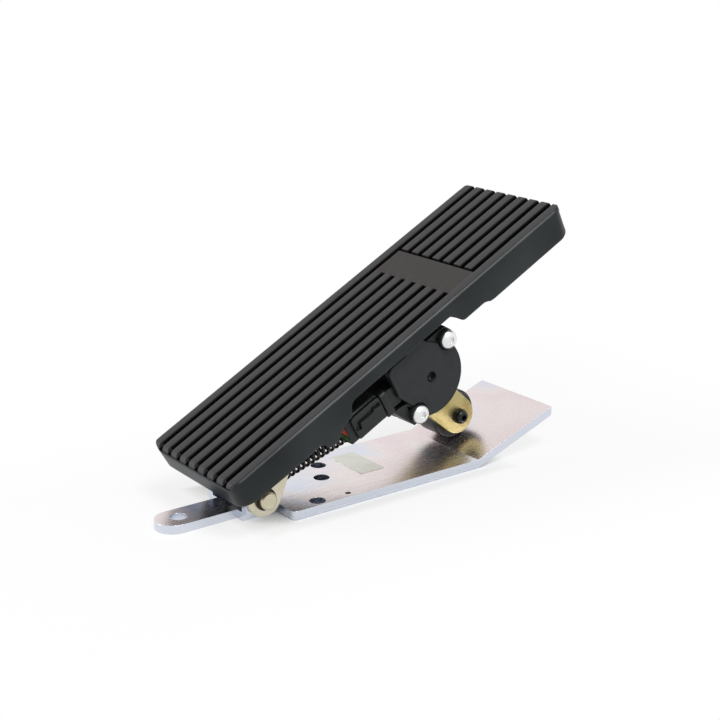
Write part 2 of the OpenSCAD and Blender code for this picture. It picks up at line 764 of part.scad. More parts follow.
module sensor_housing() {
    color("#1f2123") on_shaft() difference() {
        union() {
            across(sensor_x, body_front_x) sensor_outline(cover_r - 0.6);
            across(sensor_x, ear_front_x) for (p = sensor_screws_at) translate(p) circle(screw_ear_r);
            across(sensor_x, body_front_x - 2) for (p = sensor_screws_at) link([0, 0], boss_r, p, screw_ear_r);
            socket_shroud();
        }
        bar(shaft_d / 2 + 0.3, sensor_x - 1, sensor_x + 6.5);
        for (p = sensor_screws_at) bar(sensor_screw_d / 2 + 0.15, sensor_x - 1, ear_front_x + 1, p);
        socket_pocket();
    }
}

// The socket on the sensor's heel side, which the connector plugs into
socket_s = plug_s + plug_len - pivot_s;
shroud_t = 1.6;
plug_top = pivot_n - plug_n + plug_h;
plug_low = pivot_n - plug_n;

module socket_shroud() {
    along(socket_s, -cover_r) round_rect([plug_x, plug_low - 1.4], [plug_x + plug_w, plug_top + 0.2], 2.5);
    along(-cover_r - 1, -boss_r) round_rect([sensor_x, plug_low - 1.4], [plug_x + plug_w - 2, plug_top + 0.2], 2);
}

module socket_pocket() {
    along(socket_s - 1, socket_s + 12) round_rect(
        [plug_x + shroud_t, plug_low + 0.2], [plug_x + plug_w - shroud_t, plug_top - 1.4], 2);
}

module sensor_cover() {
    slot_w = 2.2;
    color("#303336") on_shaft() difference() {
        across(body_front_x, cover_x) sensor_outline(cover_r);
        for (p = sensor_screws_at) bar(screw_ear_r + screw_clear, body_front_x - 1, cover_x + 1, p);
        across(cover_x - 1.6, cover_x + 1) {
            translate([0.6, -3]) square([slot_w, 6]);
            translate([1.4, 0.8]) circle(2.2);
        }
        difference() {
            bar(cover_r - 2.2, cover_x - 0.3, cover_x + 1);
            bar(cover_r - 2.9, cover_x - 1, cover_x + 2);
        }
    }
}

module sensor_screws() {
    head_r = 5.5;
    head_h = 3.3;
    color("#d9dadb") on_shaft() for (p = sensor_screws_at) {
        bar(sensor_screw_d / 2 - 0.01, near_wall_x, ear_front_x, p);
        translate([ear_front_x, p[0], p[1]]) rotate([0, 90, 0]) button_head(head_r, head_h, 1.9);
    }
}

// Connector

module connector_plug() {
    back = socket_s + 11.5;
    front = plug_s - pivot_s;
    color("#232527") on_shaft() difference() {
        union() {
            along(front, socket_s) round_rect([plug_x, plug_low], [plug_x + plug_w, plug_top], 2.2);
            along(socket_s - 1, back) round_rect(
                [plug_x + shroud_t + 0.2, plug_low + 0.4], [plug_x + plug_w - shroud_t - 0.2, plug_top - 1.6], 2);
        }
        along(front - 1, front + 7) round_rect(
            [plug_x + 1.6, plug_low + 1.6], [plug_x + plug_w - 1.6, plug_top - 1.6], 2);
    }
}

module connector_latch() {
    latch_x = plug_x + plug_w;
    latch_t = 2.2;
    front = plug_s - pivot_s;
    color("#191a1b") on_shaft() translate([latch_x, 0, 0]) {
        translate([0, front + 4, plug_low + 9]) cube([latch_t, socket_s - front + 8, 3.4]);
        translate([0, front + 4, plug_low + 3.4]) cube([latch_t, 3, 6]);
        translate([0, socket_s + 8, plug_low + 5.6]) cube([latch_t, 3.4, 6]);
    }
}

module connector_seal() {
    front = plug_s - pivot_s;
    color("#3f7a45") on_shaft() along(front + 2.2, front + 7) round_rect(
        [plug_x + 1.6, plug_low + 1.6], [plug_x + plug_w - 1.6, plug_low + 8.4], 2);
}

module connector_lock() {
    front = plug_s - pivot_s;
    color("#c6502c") on_shaft() along(front + 1.2, front + 7) round_rect(
        [plug_x + 1.6, plug_low + 8.6], [plug_x + plug_w - 1.6, plug_top - 1.6], 2);
}

base_plate();
plate_label();
hinge_pin();
hinge_clips();
treadle_body();
tread_pad();
hinge_bracket();
bracket_rivets();
hinge_bushes();
pivot_housing();
housing_screws();
shaft_bushes();
near_lever_arm();
far_lever_arm();
lever_hub();
lever_shaft();
shaft_spacer();
spring_pin();
roller_bolt();
roller_nut();
roller();
roller_bush();
near_spring();
far_spring();
sensor_housing();
sensor_cover();
sensor_screws();
connector_plug();
connector_latch();
connector_seal();
connector_lock();
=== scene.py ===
# %% [markdown]
# A floor accelerator pedal, dressed for a picture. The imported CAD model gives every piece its
# place and its size. This lesson lays the visible surfaces over it: the ribbed rubber, the
# painted skirt, the coil springs and the sensor are worked out as grids of points, and the flat
# metal pieces keep their CAD shape and get a finish of their own.

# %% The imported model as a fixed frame
import json
import math

import bmesh
import bpy
import numpy as np
from mathutils import Matrix, Vector


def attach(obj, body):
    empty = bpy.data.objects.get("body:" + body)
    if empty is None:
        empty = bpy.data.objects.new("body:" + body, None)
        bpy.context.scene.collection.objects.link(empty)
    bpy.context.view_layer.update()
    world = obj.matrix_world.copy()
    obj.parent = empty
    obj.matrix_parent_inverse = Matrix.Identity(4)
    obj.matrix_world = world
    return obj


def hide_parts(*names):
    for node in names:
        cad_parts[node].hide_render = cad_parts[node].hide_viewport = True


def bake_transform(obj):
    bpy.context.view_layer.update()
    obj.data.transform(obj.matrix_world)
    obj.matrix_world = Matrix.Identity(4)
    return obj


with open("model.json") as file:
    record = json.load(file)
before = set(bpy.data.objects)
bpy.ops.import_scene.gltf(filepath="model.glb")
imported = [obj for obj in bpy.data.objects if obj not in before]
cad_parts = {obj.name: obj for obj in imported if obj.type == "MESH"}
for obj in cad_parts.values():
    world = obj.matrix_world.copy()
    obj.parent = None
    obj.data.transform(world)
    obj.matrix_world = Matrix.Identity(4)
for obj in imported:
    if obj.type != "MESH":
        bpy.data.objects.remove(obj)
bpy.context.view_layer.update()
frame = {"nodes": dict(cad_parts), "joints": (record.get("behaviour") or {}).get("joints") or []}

MM = 0.001

# %% [markdown]
# Most of the pedal is tilted with the treadle, so its shapes are easiest to draw in the
# treadle's own terms: x across, s along from the heel edge, and n up from the rib tops, all in
# millimetres. One function turns such a place into the pedal's frame at rest. Two more do the
# same from the lever's shaft, and along the lever. Tilted parent objects would do it too, but
# every piece has to be at its place in the frame before it is given to a body.

# %% Places on the treadle, on the shaft and on the lever
IDLE = math.radians(28.07)            # the treadle's slope with no foot on it
LEVER_TURN = math.radians(-69.4)      # the lever's lie, counted from the treadle
HINGE_S, HINGE_DEPTH = 18.2, 31.0
SHAFT_S, SHAFT_DEPTH = 126.8, 32.0
LEVER_LEN = 60.4
PIN_REACH, PIN_ANGLE = 18.6, math.radians(105)    # the spring pin, seen from the shaft
joint_at = {j["name"]: np.array(j["pos_m"]) / MM for j in frame["joints"]}
hinge_at = joint_at["treadle_hinge"]


def on_treadle(x, s, n):
    """Turns (s - hinge s, n + hinge depth) by the idle angle about the hinge: place in metres."""
    x, s, n = np.broadcast_arrays(x, s, n)
    a, b = s - HINGE_S, n + HINGE_DEPTH
    y = hinge_at[1] + a * math.cos(IDLE) - b * math.sin(IDLE)
    z = hinge_at[2] + a * math.sin(IDLE) + b * math.cos(IDLE)
    return MM * np.stack([x, y, z], -1)


def on_shaft(x, u, v):
    """The same place counted from the lever's shaft: s = shaft s + u, n = v - shaft depth."""
    return on_treadle(x, SHAFT_S + u, v - SHAFT_DEPTH)


def on_lever(x, along, aside):
    """(along, aside) turned by the lever's angle about the shaft."""
    c, s = math.cos(LEVER_TURN), math.sin(LEVER_TURN)
    return on_shaft(x, along * c - aside * s, along * s + aside * c)


shaft_error = np.linalg.norm(on_shaft(0.0, 0.0, 0.0) / MM - joint_at["lever_pivot"])
print("shaft lies", round(float(shaft_error), 4), "mm from the CAD joint")

# %% [markdown]
# A finish is a node tree. One function turns a written sRGB colour into the linear numbers that
# Blender reckons with, one makes an empty material, and one adds a node with all its settings.
# The same trees could be wired by hand in the shader editor. Written out, a finish can be read
# from top to bottom, and gives the same result each run.

# %% Colours, materials and nodes
def colour(code, alpha=1.0):
    """sRGB hex to linear: c / 12.92 below 0.04045, else ((c + 0.055) / 1.055) ^ 2.4."""
    c = np.array([int(code[i:i + 2], 16) for i in (1, 3, 5)]) / 255
    linear = np.where(c <= 0.04045, c / 12.92, ((c + 0.055) / 1.055) ** 2.4)
    return (*linear.tolist(), alpha)


def put(tree, kind, sockets=None, stops=None, **settings):
    """Adds a node. A value goes into its socket, another node's output is linked to it, and
    stops are (place, colour) pairs for a colour ramp."""
    node = tree.nodes.new("ShaderNode" + kind)
    for key, value in settings.items():
        setattr(node, key, value)
    for key, value in (sockets or {}).items():
        if isinstance(value, bpy.types.NodeSocket):
            tree.links.new(value, node.inputs[key])
        else:
            node.inputs[key].default_value = value
    for i, (place, code) in enumerate(stops or []):
        band = node.color_ramp.elements
        stop = band[i] if i < 2 else band.new(place)
        stop.position, stop.color = place, colour(code)
    return node


def new_finish(name):
    """An empty material with its tree and output."""
    material = bpy.data.materials.new(name)
    material.use_nodes = True
    material.node_tree.nodes.clear()
    return material, material.node_tree, material.node_tree.nodes.new("ShaderNodeOutputMaterial")


def relief(tree, height, depth_mm, edge_mm=0.0):
    """Normals of a surface raised by depth_mm where height is 1, with edges rounded to edge_mm."""
    sockets = {"Height": height, "Distance": depth_mm * MM, "Strength": 1.0}
    if edge_mm:
        rounded = put(tree, "Bevel", {"Radius": edge_mm * MM}, samples=4)
        sockets["Normal"] = rounded.outputs["Normal"]
    return put(tree, "Bump", sockets).outputs["Normal"]


print("colour check:", [round(v, 3) for v in colour("#808080")])

# %% [markdown]
# The pad is EPDM rubber, moulded in ribs. Shoes polish the rib tops to a soft grey, which is real
# wear. The grooves are painted nearly black and given less sheen, as painted shade, because little
# light gets down there; the rounded rib ends at the heel keep the top's grey, as a painted
# highlight.
# A painted mask could show this, but the height above the groove floor already says where shoes
# reach and where shade falls. So that height drives the colour, read from Object coordinates
# turned level with the treadle.

# %% Moulded EPDM rubber
RIB_DEPTH = 3.2
HEEL_LIT_END, HEEL_LIT_FULL = 4.6, 3.2    # mm from the heel edge: where the painted highlight on the rib ends begins, and where it is full


def rubber():
    """Grey by height: 0 on the groove floor, 1 on the rib tops, a little mottle added; the low end
    is painted shade.
    """
    material, tree, out = new_finish("moulded EPDM rubber")
    place = put(tree, "TexCoord").outputs["Object"]
    level = put(tree, "Mapping", {"Vector": place, "Rotation": (-IDLE, 0, 0)}).outputs["Vector"]
    along = put(tree, "SeparateXYZ", {"Vector": level})
    top = float(-hinge_at[1] * math.sin(IDLE) + hinge_at[2] * math.cos(IDLE) + HINGE_DEPTH) * MM
    heel = float(hinge_at[1] * math.cos(IDLE) + hinge_at[2] * math.sin(IDLE) - HINGE_S) * MM
    # rise runs from 0 on the groove floor to 1 on the rib tops; its low end drives the painted
    # shade
    rise = put(tree, "MapRange", {"Value": along.outputs["Z"], "From Min": top - RIB_DEPTH * MM,
                                  "From Max": top})
    near_heel = put(tree, "MapRange", {"Value": along.outputs["Y"],
                                       "From Min": heel + HEEL_LIT_END * MM,
                                       "From Max": heel + HEEL_LIT_FULL * MM})
    over_floor = put(tree, "MapRange", {"Value": rise.outputs["Result"], "From Min": 0.1,
                                        "From Max": 0.3})
    # the rounded rib ends at the heel keep the top's grey: a painted highlight instead of groove
    # shade
    lit_heel_ends = put(tree, "Math", {0: near_heel.outputs["Result"], 1: over_floor.outputs["Result"]},
                 operation="MULTIPLY")
    mottle = put(tree, "TexNoise", {"Vector": place, "Scale": 260.0, "Detail": 4.0})
    # wear and dust on the rib tops, with painted shade below and a painted highlight on the heel
    # ends
    wear_and_painted_light = put(tree, "Math", {0: mottle.outputs["Fac"], 1: 0.1, 2: rise.outputs["Result"]},
                operation="MULTIPLY_ADD")
    wear_and_painted_light = put(tree, "Math", {0: wear_and_painted_light.outputs["Value"], 1: lit_heel_ends.outputs["Value"]},
                operation="MAXIMUM")
    # the near-black stops are painted shade in the grooves; the grey top stops are wear
    tone = put(tree, "ValToRGB", {"Fac": wear_and_painted_light.outputs["Value"]},
               [(0.0, "#050506"), (0.6, "#080809"), (0.88, "#2c2826"), (0.95, "#2d2a28"),
                (1.0, "#2f2f31")])
    grain = put(tree, "TexNoise", {"Vector": place, "Scale": 2200.0, "Detail": 3.0})
    # less sheen low down in the grooves: painted shade as well
    sheen = put(tree, "MapRange", {"Value": wear_and_painted_light.outputs["Value"], "From Min": 0.5,
                                   "From Max": 1.0, "To Min": 0.04, "To Max": 0.3})
    shader = put(tree, "BsdfPrincipled", {
        "Base Color": tone.outputs["Color"], "Roughness": 0.5,
        "Specular IOR Level": sheen.outputs["Result"],
        "Normal": relief(tree, grain.outputs["Fac"], 0.03)})
    tree.links.new(shader.outputs["BSDF"], out.inputs["Surface"])
    return material


# Dull black in the grooves, which is painted shade, and a grey, slightly shiny top on each rib.
RUBBER = rubber()
print("made", RUBBER.name)

# %% [markdown]
# The skirt is die-cast aluminium under a satin black paint. The paint flows a little before it
# sets, so the surface has a soft waviness about a millimetre long, with finer grain on top. The
# waviness could be modelled, but it is far too shallow for the mesh, so the finish bends the
# light instead. Slow clouds of tone and gloss keep the long walls from looking like one flat fill.

# %% Satin black paint on cast aluminium
def black_paint():
    """Tone, roughness and sheen all follow one cloud pattern about 45 mm across."""
    material, tree, out = new_finish("satin black paint")
    place = put(tree, "TexCoord").outputs["Object"]
    cloud = put(tree, "TexNoise", {"Vector": place, "Scale": 22.0, "Detail": 2.0})
    tone = put(tree, "ValToRGB", {"Fac": cloud.outputs["Fac"]},
               [(0.3, "#0a1113"), (0.7, "#111b1e")])
    gloss = put(tree, "MapRange", {"Value": cloud.outputs["Fac"], "To Min": 0.36, "To Max": 0.46})
    sheen = put(tree, "MapRange", {"Value": cloud.outputs["Fac"], "From Min": 0.3, "From Max": 0.7,
                                   "To Min": 0.26, "To Max": 0.46})
    flow = put(tree, "TexNoise", {"Vector": place, "Scale": 900.0, "Detail": 4.0})
    shader = put(tree, "BsdfPrincipled", {
        "Base Color": tone.outputs["Color"], "Roughness": gloss.outputs["Result"],
        "Specular IOR Level": sheen.outputs["Result"],
        "Normal": relief(tree, flow.outputs["Fac"], 0.02, 0.5)})
    tree.links.new(shader.outputs["BSDF"], out.inputs["Surface"])
    return material


# A soft highlight along the walls, with a blue-green tinge in the black.
BLACK_PAINT = black_paint()
print("made", BLACK_PAINT.name)

# %% [markdown]
# The base plate is rolled steel with clear zinc plating. Passivated zinc is not quite neutral:
# thin-film colours drift from pink to pale blue over a few centimetres. Rolling leaves faint
# streaks along the plate; real ones are finer than a pixel, so they are drawn coarser. Over the
# tongue by the hinge a dark blue-grey is painted, a painted reflection of the black treadle above,
# and the cut sides get a pale blue tone, a painted reflection of the floor. One function makes
# every plated metal here, because only colour, roughness and grain differ from one to the next.

# %% Zinc-plated steel, clear and yellow
# the painted dark reflection of the black treadle on the tongue: its middle along Y, full within,
# gone beyond
DARK_REFLECTION_MID, DARK_REFLECTION_FULL, DARK_REFLECTION_END = 0.024, 0.012, 0.028    # metres: its middle, and reaches
CUT_SIDE, FLAT_FACE = 0.3, 0.85    # the normal's height on a cut side and on a flat face


def zinc(name, stops, rough, cloud_scale, edge_mm, grain_mm=0.004, side_reflection_tone=None):
    """Metal with colour by soft clouds and roughness by streaks along Y. With a side tone, the cut
    sides take that tone as a painted reflection, and a painted dark reflection fades out on both
    sides of its middle along Y."""
    material, tree, out = new_finish(name)
    place = put(tree, "TexCoord").outputs["Object"]
    film = put(tree, "TexNoise", {"Vector": place, "Scale": cloud_scale, "Detail": 2.0,
                                  "Distortion": 0.6})
    tone = put(tree, "ValToRGB", {"Fac": film.outputs["Fac"]}, stops)
    if side_reflection_tone:
        # painted reflection: the tongue by the hinge takes a dark blue-grey, standing in for the
        # black treadle mirrored there
        reach = put(tree, "SeparateXYZ", {"Vector": place})
        reach = put(tree, "Math", {0: reach.outputs["Y"], 1: DARK_REFLECTION_MID}, operation="SUBTRACT")
        reach = put(tree, "Math", {0: reach.outputs["Value"]}, operation="ABSOLUTE")
        dark_reflection = put(tree, "MapRange", {"Value": reach.outputs["Value"],
                                         "From Min": DARK_REFLECTION_FULL, "From Max": DARK_REFLECTION_END,
                                         "To Min": 1.0, "To Max": 0.0},
                      interpolation_type="SMOOTHSTEP")
        tone = put(tree, "MixRGB", {"Fac": dark_reflection.outputs["Result"], "Color2": colour("#6b7086"),
                                    "Color1": tone.outputs["Color"]})
        # the cut sides take a pale blue tone: a painted reflection of the floor
        facing = put(tree, "SeparateXYZ", {"Vector": put(tree, "NewGeometry").outputs["Normal"]})
        flat = put(tree, "MapRange", {"Value": facing.outputs["Z"], "From Min": CUT_SIDE,
                                      "From Max": FLAT_FACE})
        tone = put(tree, "MixRGB", {"Fac": flat.outputs["Result"], "Color1": colour(side_reflection_tone),
                                    "Color2": tone.outputs["Color"]})
    drawn = put(tree, "Mapping", {"Vector": place, "Scale": (1400.0, 70.0, 1400.0)})
    streak = put(tree, "TexNoise", {"Vector": drawn.outputs["Vector"], "Scale": 1.0, "Detail": 5.0})
    gloss = put(tree, "MapRange", {"Value": streak.outputs["Fac"], "From Min": 0.3,
                                   "From Max": 0.7, "To Min": rough * 0.85, "To Max": rough * 1.2})
    shader = put(tree, "BsdfPrincipled", {
        "Base Color": tone.outputs["Color"], "Metallic": 1.0, "Roughness": gloss.outputs["Result"],
        "Normal": relief(tree, streak.outputs["Fac"], grain_mm, edge_mm)})
    tree.links.new(shader.outputs["BSDF"], out.inputs["Surface"])
    return material


# A satin mirror with a pink and pale blue film: dark things over it show as soft dark patches.
# Its cut sides carry a painted pale blue reflection, and the tongue a painted dark one.
CLEAR_ZINC = zinc("clear zinc on rolled steel",
                  [(0.38, "#e3d3d6"), (0.5, "#e6dcdb"), (0.62, "#d6dbe8")],
                  0.27, 16.0, 0.4, 0.0012, "#d6dbe5")
# Pale straw, as thin passivation leaves it on small pressed parts.
WARM_ZINC = zinc("clear zinc, warm", [(0.35, "#c9c2a8"), (0.65, "#d6d0bd")], 0.3, 60.0, 0.35)
# Straw to olive and more matte, because the yellow chromate coat is thicker.
YELLOW_ZINC = zinc("yellow zinc on pressed steel",
                   [(0.35, "#aa9d68"), (0.5, "#b9ad79"), (0.65, "#b8ab80")], 0.42, 90.0, 0.4)
# Cool grey with small clear highlights, for rivets, shaft, spring pin and nut.
BRIGHT_STEEL = zinc("bright plated screw steel", [(0.3, "#bfc2c3"), (0.7, "#cdd0d0")],
                    0.26, 90.0, 0.15)
# Nearly white: a lighter copy of the plated steel, painted to stand in for the light both soft
# lamps put on the domes.
SCREW_STEEL_PAINTED_LIT = zinc("plated screw head, painted lighter", [(0.3, "#e2e4e4"), (0.7, "#efefee")],
                   0.3, 90.0, 0.0, 0.0006)
# A flat silver-green patch, more even than the plate round it.
FILM = zinc("metallised label film", [(0.3, "#d3d4cb"), (0.7, "#dcdcd4")], 0.4, 60.0, 0.0, 0.0004)
# Dark brown-grey with a dull shine on the rims.
DARK_STEEL = zinc("phosphated spring steel", [(0.3, "#2a2927"), (0.7, "#3a3936")],
                  0.35, 90.0, 0.15)
print("made", CLEAR_ZINC.name, "and six more metal finishes")

# %% [markdown]
# The sensor, its connector and the housing are glass-filled nylon. The mould is spark-eroded, so
# the skin has a fine matte grain, about 0.15 mm from peak to peak; here it is drawn some four
# times coarser, so that it shows. Rubbery and waxy skins, and the dark coat on bolt and springs,
# are built the same way: a cloudy tone, one roughness and a grain.

# %% Moulded nylon, bronze, seal and lock
def moulded(name, dark, light, rough, edge_mm=0.35, grain_scale=1500.0, grain_mm=0.02):
    """Tone from dark to light by clouds about 8 mm across, and a grain of grain_mm."""
    material, tree, out = new_finish(name)
    place = put(tree, "TexCoord").outputs["Object"]
    cloud = put(tree, "TexNoise", {"Vector": place, "Scale": 120.0, "Detail": 4.0})
    tone = put(tree, "ValToRGB", {"Fac": cloud.outputs["Fac"]}, [(0.3, dark), (0.7, light)])
    grain = put(tree, "TexNoise", {"Vector": place, "Scale": grain_scale, "Detail": 2.0})
    shader = put(tree, "BsdfPrincipled", {
        "Base Color": tone.outputs["Color"], "Roughness": rough, "Specular IOR Level": 0.36,
        "Normal": relief(tree, grain.outputs["Fac"], grain_mm, edge_mm)})
    tree.links.new(shader.outputs["BSDF"], out.inputs["Surface"])
    return material


# Black with a soft wide highlight, which the glass fibres just under the skin break up.
NYLON = moulded("glass-filled nylon", "#17191a", "#1e2021", 0.42)
# A drier, greyer face than the rest of the sensor.
COVER_NYLON = moulded("matte nylon cover", "#1d2022", "#232628", 0.55)
# Grey-black and waxy, with a longer highlight along the rim.
ROLLER_NYLON = moulded("dark acetal roller", "#24282a", "#2c3032", 0.36)
# Deep black with a small oily highlight on the edges.
BLACK_OXIDE = moulded("black oxide steel", "#0c0c0d", "#131314", 0.3, 0.2)
# Black wire with a thin bright line along each turn.
SPRING_BLACK = moulded("black coated spring wire", "#0d0d0e", "#151516", 0.34, 0.0)
# Dull brown-gold, since the pores of sintered bronze hold oil.
BRONZE = moulded("sintered bronze", "#7d6335", "#8d7243", 0.4, 0.15)
# A soft grass green behind the mouth of the plug.
SEAL = moulded("green silicone seal", "#2c5d2d", "#3d7a37", 0.5, 0.2)
# A strong red-orange above the seal.
LOCK = moulded("orange nylon lock", "#a8341a", "#c9481f", 0.45, 0.2)
print("made", NYLON.name, "and seven more moulded finishes")

# %% [markdown]
# A new piece is a grid of points. Neighbouring rows and columns are joined by quads, a row or a
# column that closes on itself is joined to its start, and open ends are capped by one face.
# Blender's modifiers could round and cut boxes into the same pieces, but a grid keeps the edge
# exactly where the formula puts it, and the mesh stays closed.

# %% A surface from a grid of points
def surface(name, grid, body, material, replaces=(), loop_u=False, caps=False, sharp=40):
    """Joins grid[i, j] to [i + 1, j], [i + 1, j + 1] and [i, j + 1], with j always closed."""
    rows, columns = grid.shape[:2]
    index = np.arange(rows * columns).reshape(rows, columns)
    wrap = np.concatenate([index, index[:, :1]], 1)
    wrap = np.concatenate([wrap, wrap[:1]], 0) if loop_u else wrap
    quads = np.stack([wrap[:-1, :-1], wrap[1:, :-1], wrap[1:, 1:], wrap[:-1, 1:]], -1)
    faces = quads.reshape(-1, 4).tolist()
    if caps:
        faces += [index[0, ::-1].tolist(), index[-1].tolist()]
    mesh = bpy.data.meshes.new(name)
    mesh.from_pydata(grid.reshape(-1, 3).tolist(), [], faces)
    tidy = bmesh.new()
    tidy.from_mesh(mesh)
    bmesh.ops.remove_doubles(tidy, verts=tidy.verts, dist=1e-6)
    bmesh.ops.recalc_face_normals(tidy, faces=tidy.faces)
    tidy.to_mesh(mesh)
    tidy.free()
    mesh.shade_smooth()
    mesh.set_sharp_from_angle(angle=math.radians(sharp))
    mesh.materials.append(material)
    piece = bpy.data.objects.new(name, mesh)
    bpy.context.scene.collection.objects.link(piece)
    if replaces:
        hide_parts(*replaces)
    if body:
        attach(piece, body)
    return piece


print("surface() is ready")

# %% [markdown]
# The rubber pad is one grid. Across it runs the outline of nine ribs, with rounded shoulders.
# Along it that outline changes four times: the ribs round off at the heel, fill up to a bare
# panel near the toe, drop to a narrow slit behind the panel, and round off again at the toe. An
# array of one rib would be quicker, but couldn't run into the panel without a seam.

# %% The ribbed pad
RIB_X = (np.arange(9) - 4) * 9.22
PAD_LEN, GROOVE, PAD_EDGE = 243.0, -RIB_DEPTH, 39.75
PANEL_FROM, PANEL_TO, PANEL_N, SLIT_TO = 159.15, 178.25, -0.4, 179.6
PLAN_R, HEEL_R, TOE_R = 5.2, 3.6, 2.4
shoulder = np.array([3.3, 2.95, 2.84, 2.7, 2.58, 2.44, 2.22, 1.9])
rib_offsets = np.concatenate([-shoulder, [0.0], shoulder[::-1]])
rib_rise = np.array([GROOVE, -3.12, -2.7, -1.2, -0.5, -0.2, -0.05, 0.0])
rib_profile = np.concatenate([rib_rise, [0.0], rib_rise[::-1]])


def pad_row(s):
    """Heights across the pad at s: the rib outline, cut by the rounded ends, or the panel."""
    past = max(0.0, 5.4 - s, s - (PAD_LEN - PLAN_R))
    edge = PAD_EDGE - PLAN_R + math.sqrt(max(0.0, PLAN_R ** 2 - past ** 2))
    x = np.clip((RIB_X[:, None] + rib_offsets).ravel(), -edge, edge)
    ribs = np.tile(rib_profile, 9)
    if PANEL_FROM <= s <= PANEL_TO:
        ribs = np.where((x > RIB_X[1] - 3.0) & (x < RIB_X[8] - 2.55), PANEL_N, ribs)
    elif PANEL_TO < s < SLIT_TO:
        ribs = np.where((x > RIB_X[1] - 3.4) & (x < RIB_X[8] - 2.8), GROOVE, ribs)
    heel = -3.3 + 3.3 * math.sqrt(1 - min(1.0, max(0.0, (3.8 - s) / HEEL_R)) ** 2)
    toe = -TOE_R + math.sqrt(max(0.0, TOE_R ** 2 - max(0.0, s - PAD_LEN + TOE_R) ** 2))
    n = np.minimum(ribs, min(heel, toe))
    rim = [[-edge, s, GROOVE - 0.4]], [[edge, s, GROOVE - 0.4]]
    return np.concatenate([rim[0], np.stack([x, np.full_like(x, s), n], -1), rim[1]])


heel_steps = 3.8 - HEEL_R * np.cos(np.linspace(0, math.pi / 2, 11))
toe_steps = PAD_LEN - TOE_R + TOE_R * np.sin(np.linspace(0, math.pi / 2, 9))
panel_steps = [158.9, 159.2, 165, 172, 178.2, 178.45, 179.4, 179.7]
pad_s = np.concatenate([heel_steps, [4.4, 5.4], np.linspace(12, 150, 14), panel_steps,
                        np.linspace(190, 235, 5), [237.8, 239, 240], toe_steps])
pad_points = np.array([pad_row(s) for s in pad_s])
pad = surface("ribbed_pad", on_treadle(*np.moveaxis(pad_points, -1, 0)), "treadle", RUBBER,
              ["tread_pad"], caps=True, sharp=50)
print("pad:", len(pad.data.polygons), "faces on", len(pad_s), "rows")

# %% [markdown]
# The skirt is one closed ring. Its cross-section, lip, outer wall, lower edge and inner wall, is
# carried round the treadle's plan, a long rectangle with round corners. The depth of the lower
# edge follows the real one: shallow at the heel, a deep lobe, a shallow bay for the sensor, and
# deep again at the toe. Cutting the bay out of a box would leave a hard edge to bevel; here the
# rounding of the lower edge simply runs along with it. First the plan.

# %% The treadle's plan
LOWER_EDGE = np.array([    # (s, n) along the side of the treadle, from heel to toe
    [0, -15.1], [0.5, -15.3], [13, -15.5], [26, -15.9], [50.5, -15.9], [52.5, -17.4], [53.5, -20],
    [55.5, -21], [59.5, -21], [61.5, -19.8], [64.7, -17.6], [67.5, -15.7], [69, -15.2], [73.1, -15],
    [74.4, -13.6], [75.6, -11], [77, -9], [79.5, -8], [150.5, -8], [152.3, -9.4], [155.2, -12.4],
    [156.8, -14.6], [158.5, -15.5], [174, -15.5], [176, -16.2], [178, -17.4], [181, -17.7],
    [236.6, -17.7], [239.2, -17.2], [242.6, -16.4]])
HALF_W, BODY_LEN, CORNER = 40.8, 242.6, 6.0


def plan_samples():
    """Round the plan: how far across (-1 to 1) and along (0 to 1) each point's corner centre
    lies, and the outward angle there."""
    side, end = np.linspace(0, 1, 170), np.linspace(-1, 1, 14)[1:-1]
    arc = np.radians(np.linspace(0, 90, 12)[1:-1])
    parts = [(1 + 0 * side, side, 0 * side), (1 + 0 * arc, 1 + 0 * arc, arc),
             (-end, 1 + 0 * end, 0 * end + math.pi / 2),
             (-1 + 0 * arc, 1 + 0 * arc, arc + math.pi / 2),
             (-1 + 0 * side, 1 - side, 0 * side + math.pi), (-1 + 0 * arc, 0 * arc, arc + math.pi),
             (end, 0 * end, 0 * end - math.pi / 2), (1 + 0 * arc, 0 * arc, arc - math.pi / 2)]
    return [np.concatenate([p[i] for p in parts]) for i in range(3)]


def plan_at(inset, n):
    """Plan points at depth n: the walls flare by 0.8 mm over 19.5 mm, and the corners with them."""
    across, along, turn = plan_samples()
    half = HALF_W + 0.8 * np.maximum(0, -n - 1.5) / 19.5 - inset
    toe = BODY_LEN + 0.2 * np.maximum(0, -n - 3.2) / 12.4 - inset
    r = np.maximum(CORNER + 3 * np.clip(-n / 15, 0, 1) - inset, 0.4)
    x = across * (half - r) + r * np.cos(turn)
    s = inset + r + along * (toe - inset - 2 * r) + r * np.sin(turn)
    return x, s


print("lower edge:", len(LOWER_EDGE), "points, deepest", LOWER_EDGE[:, 1].min(), "mm")

# %% [markdown]
# The cross-section is a list of rows: how far in from the outer face, and how deep. The lip at
# both ends rounds off downwards, so its depth differs from point to point. A thin deck closes the
# ring from below the pad, as one casting would.

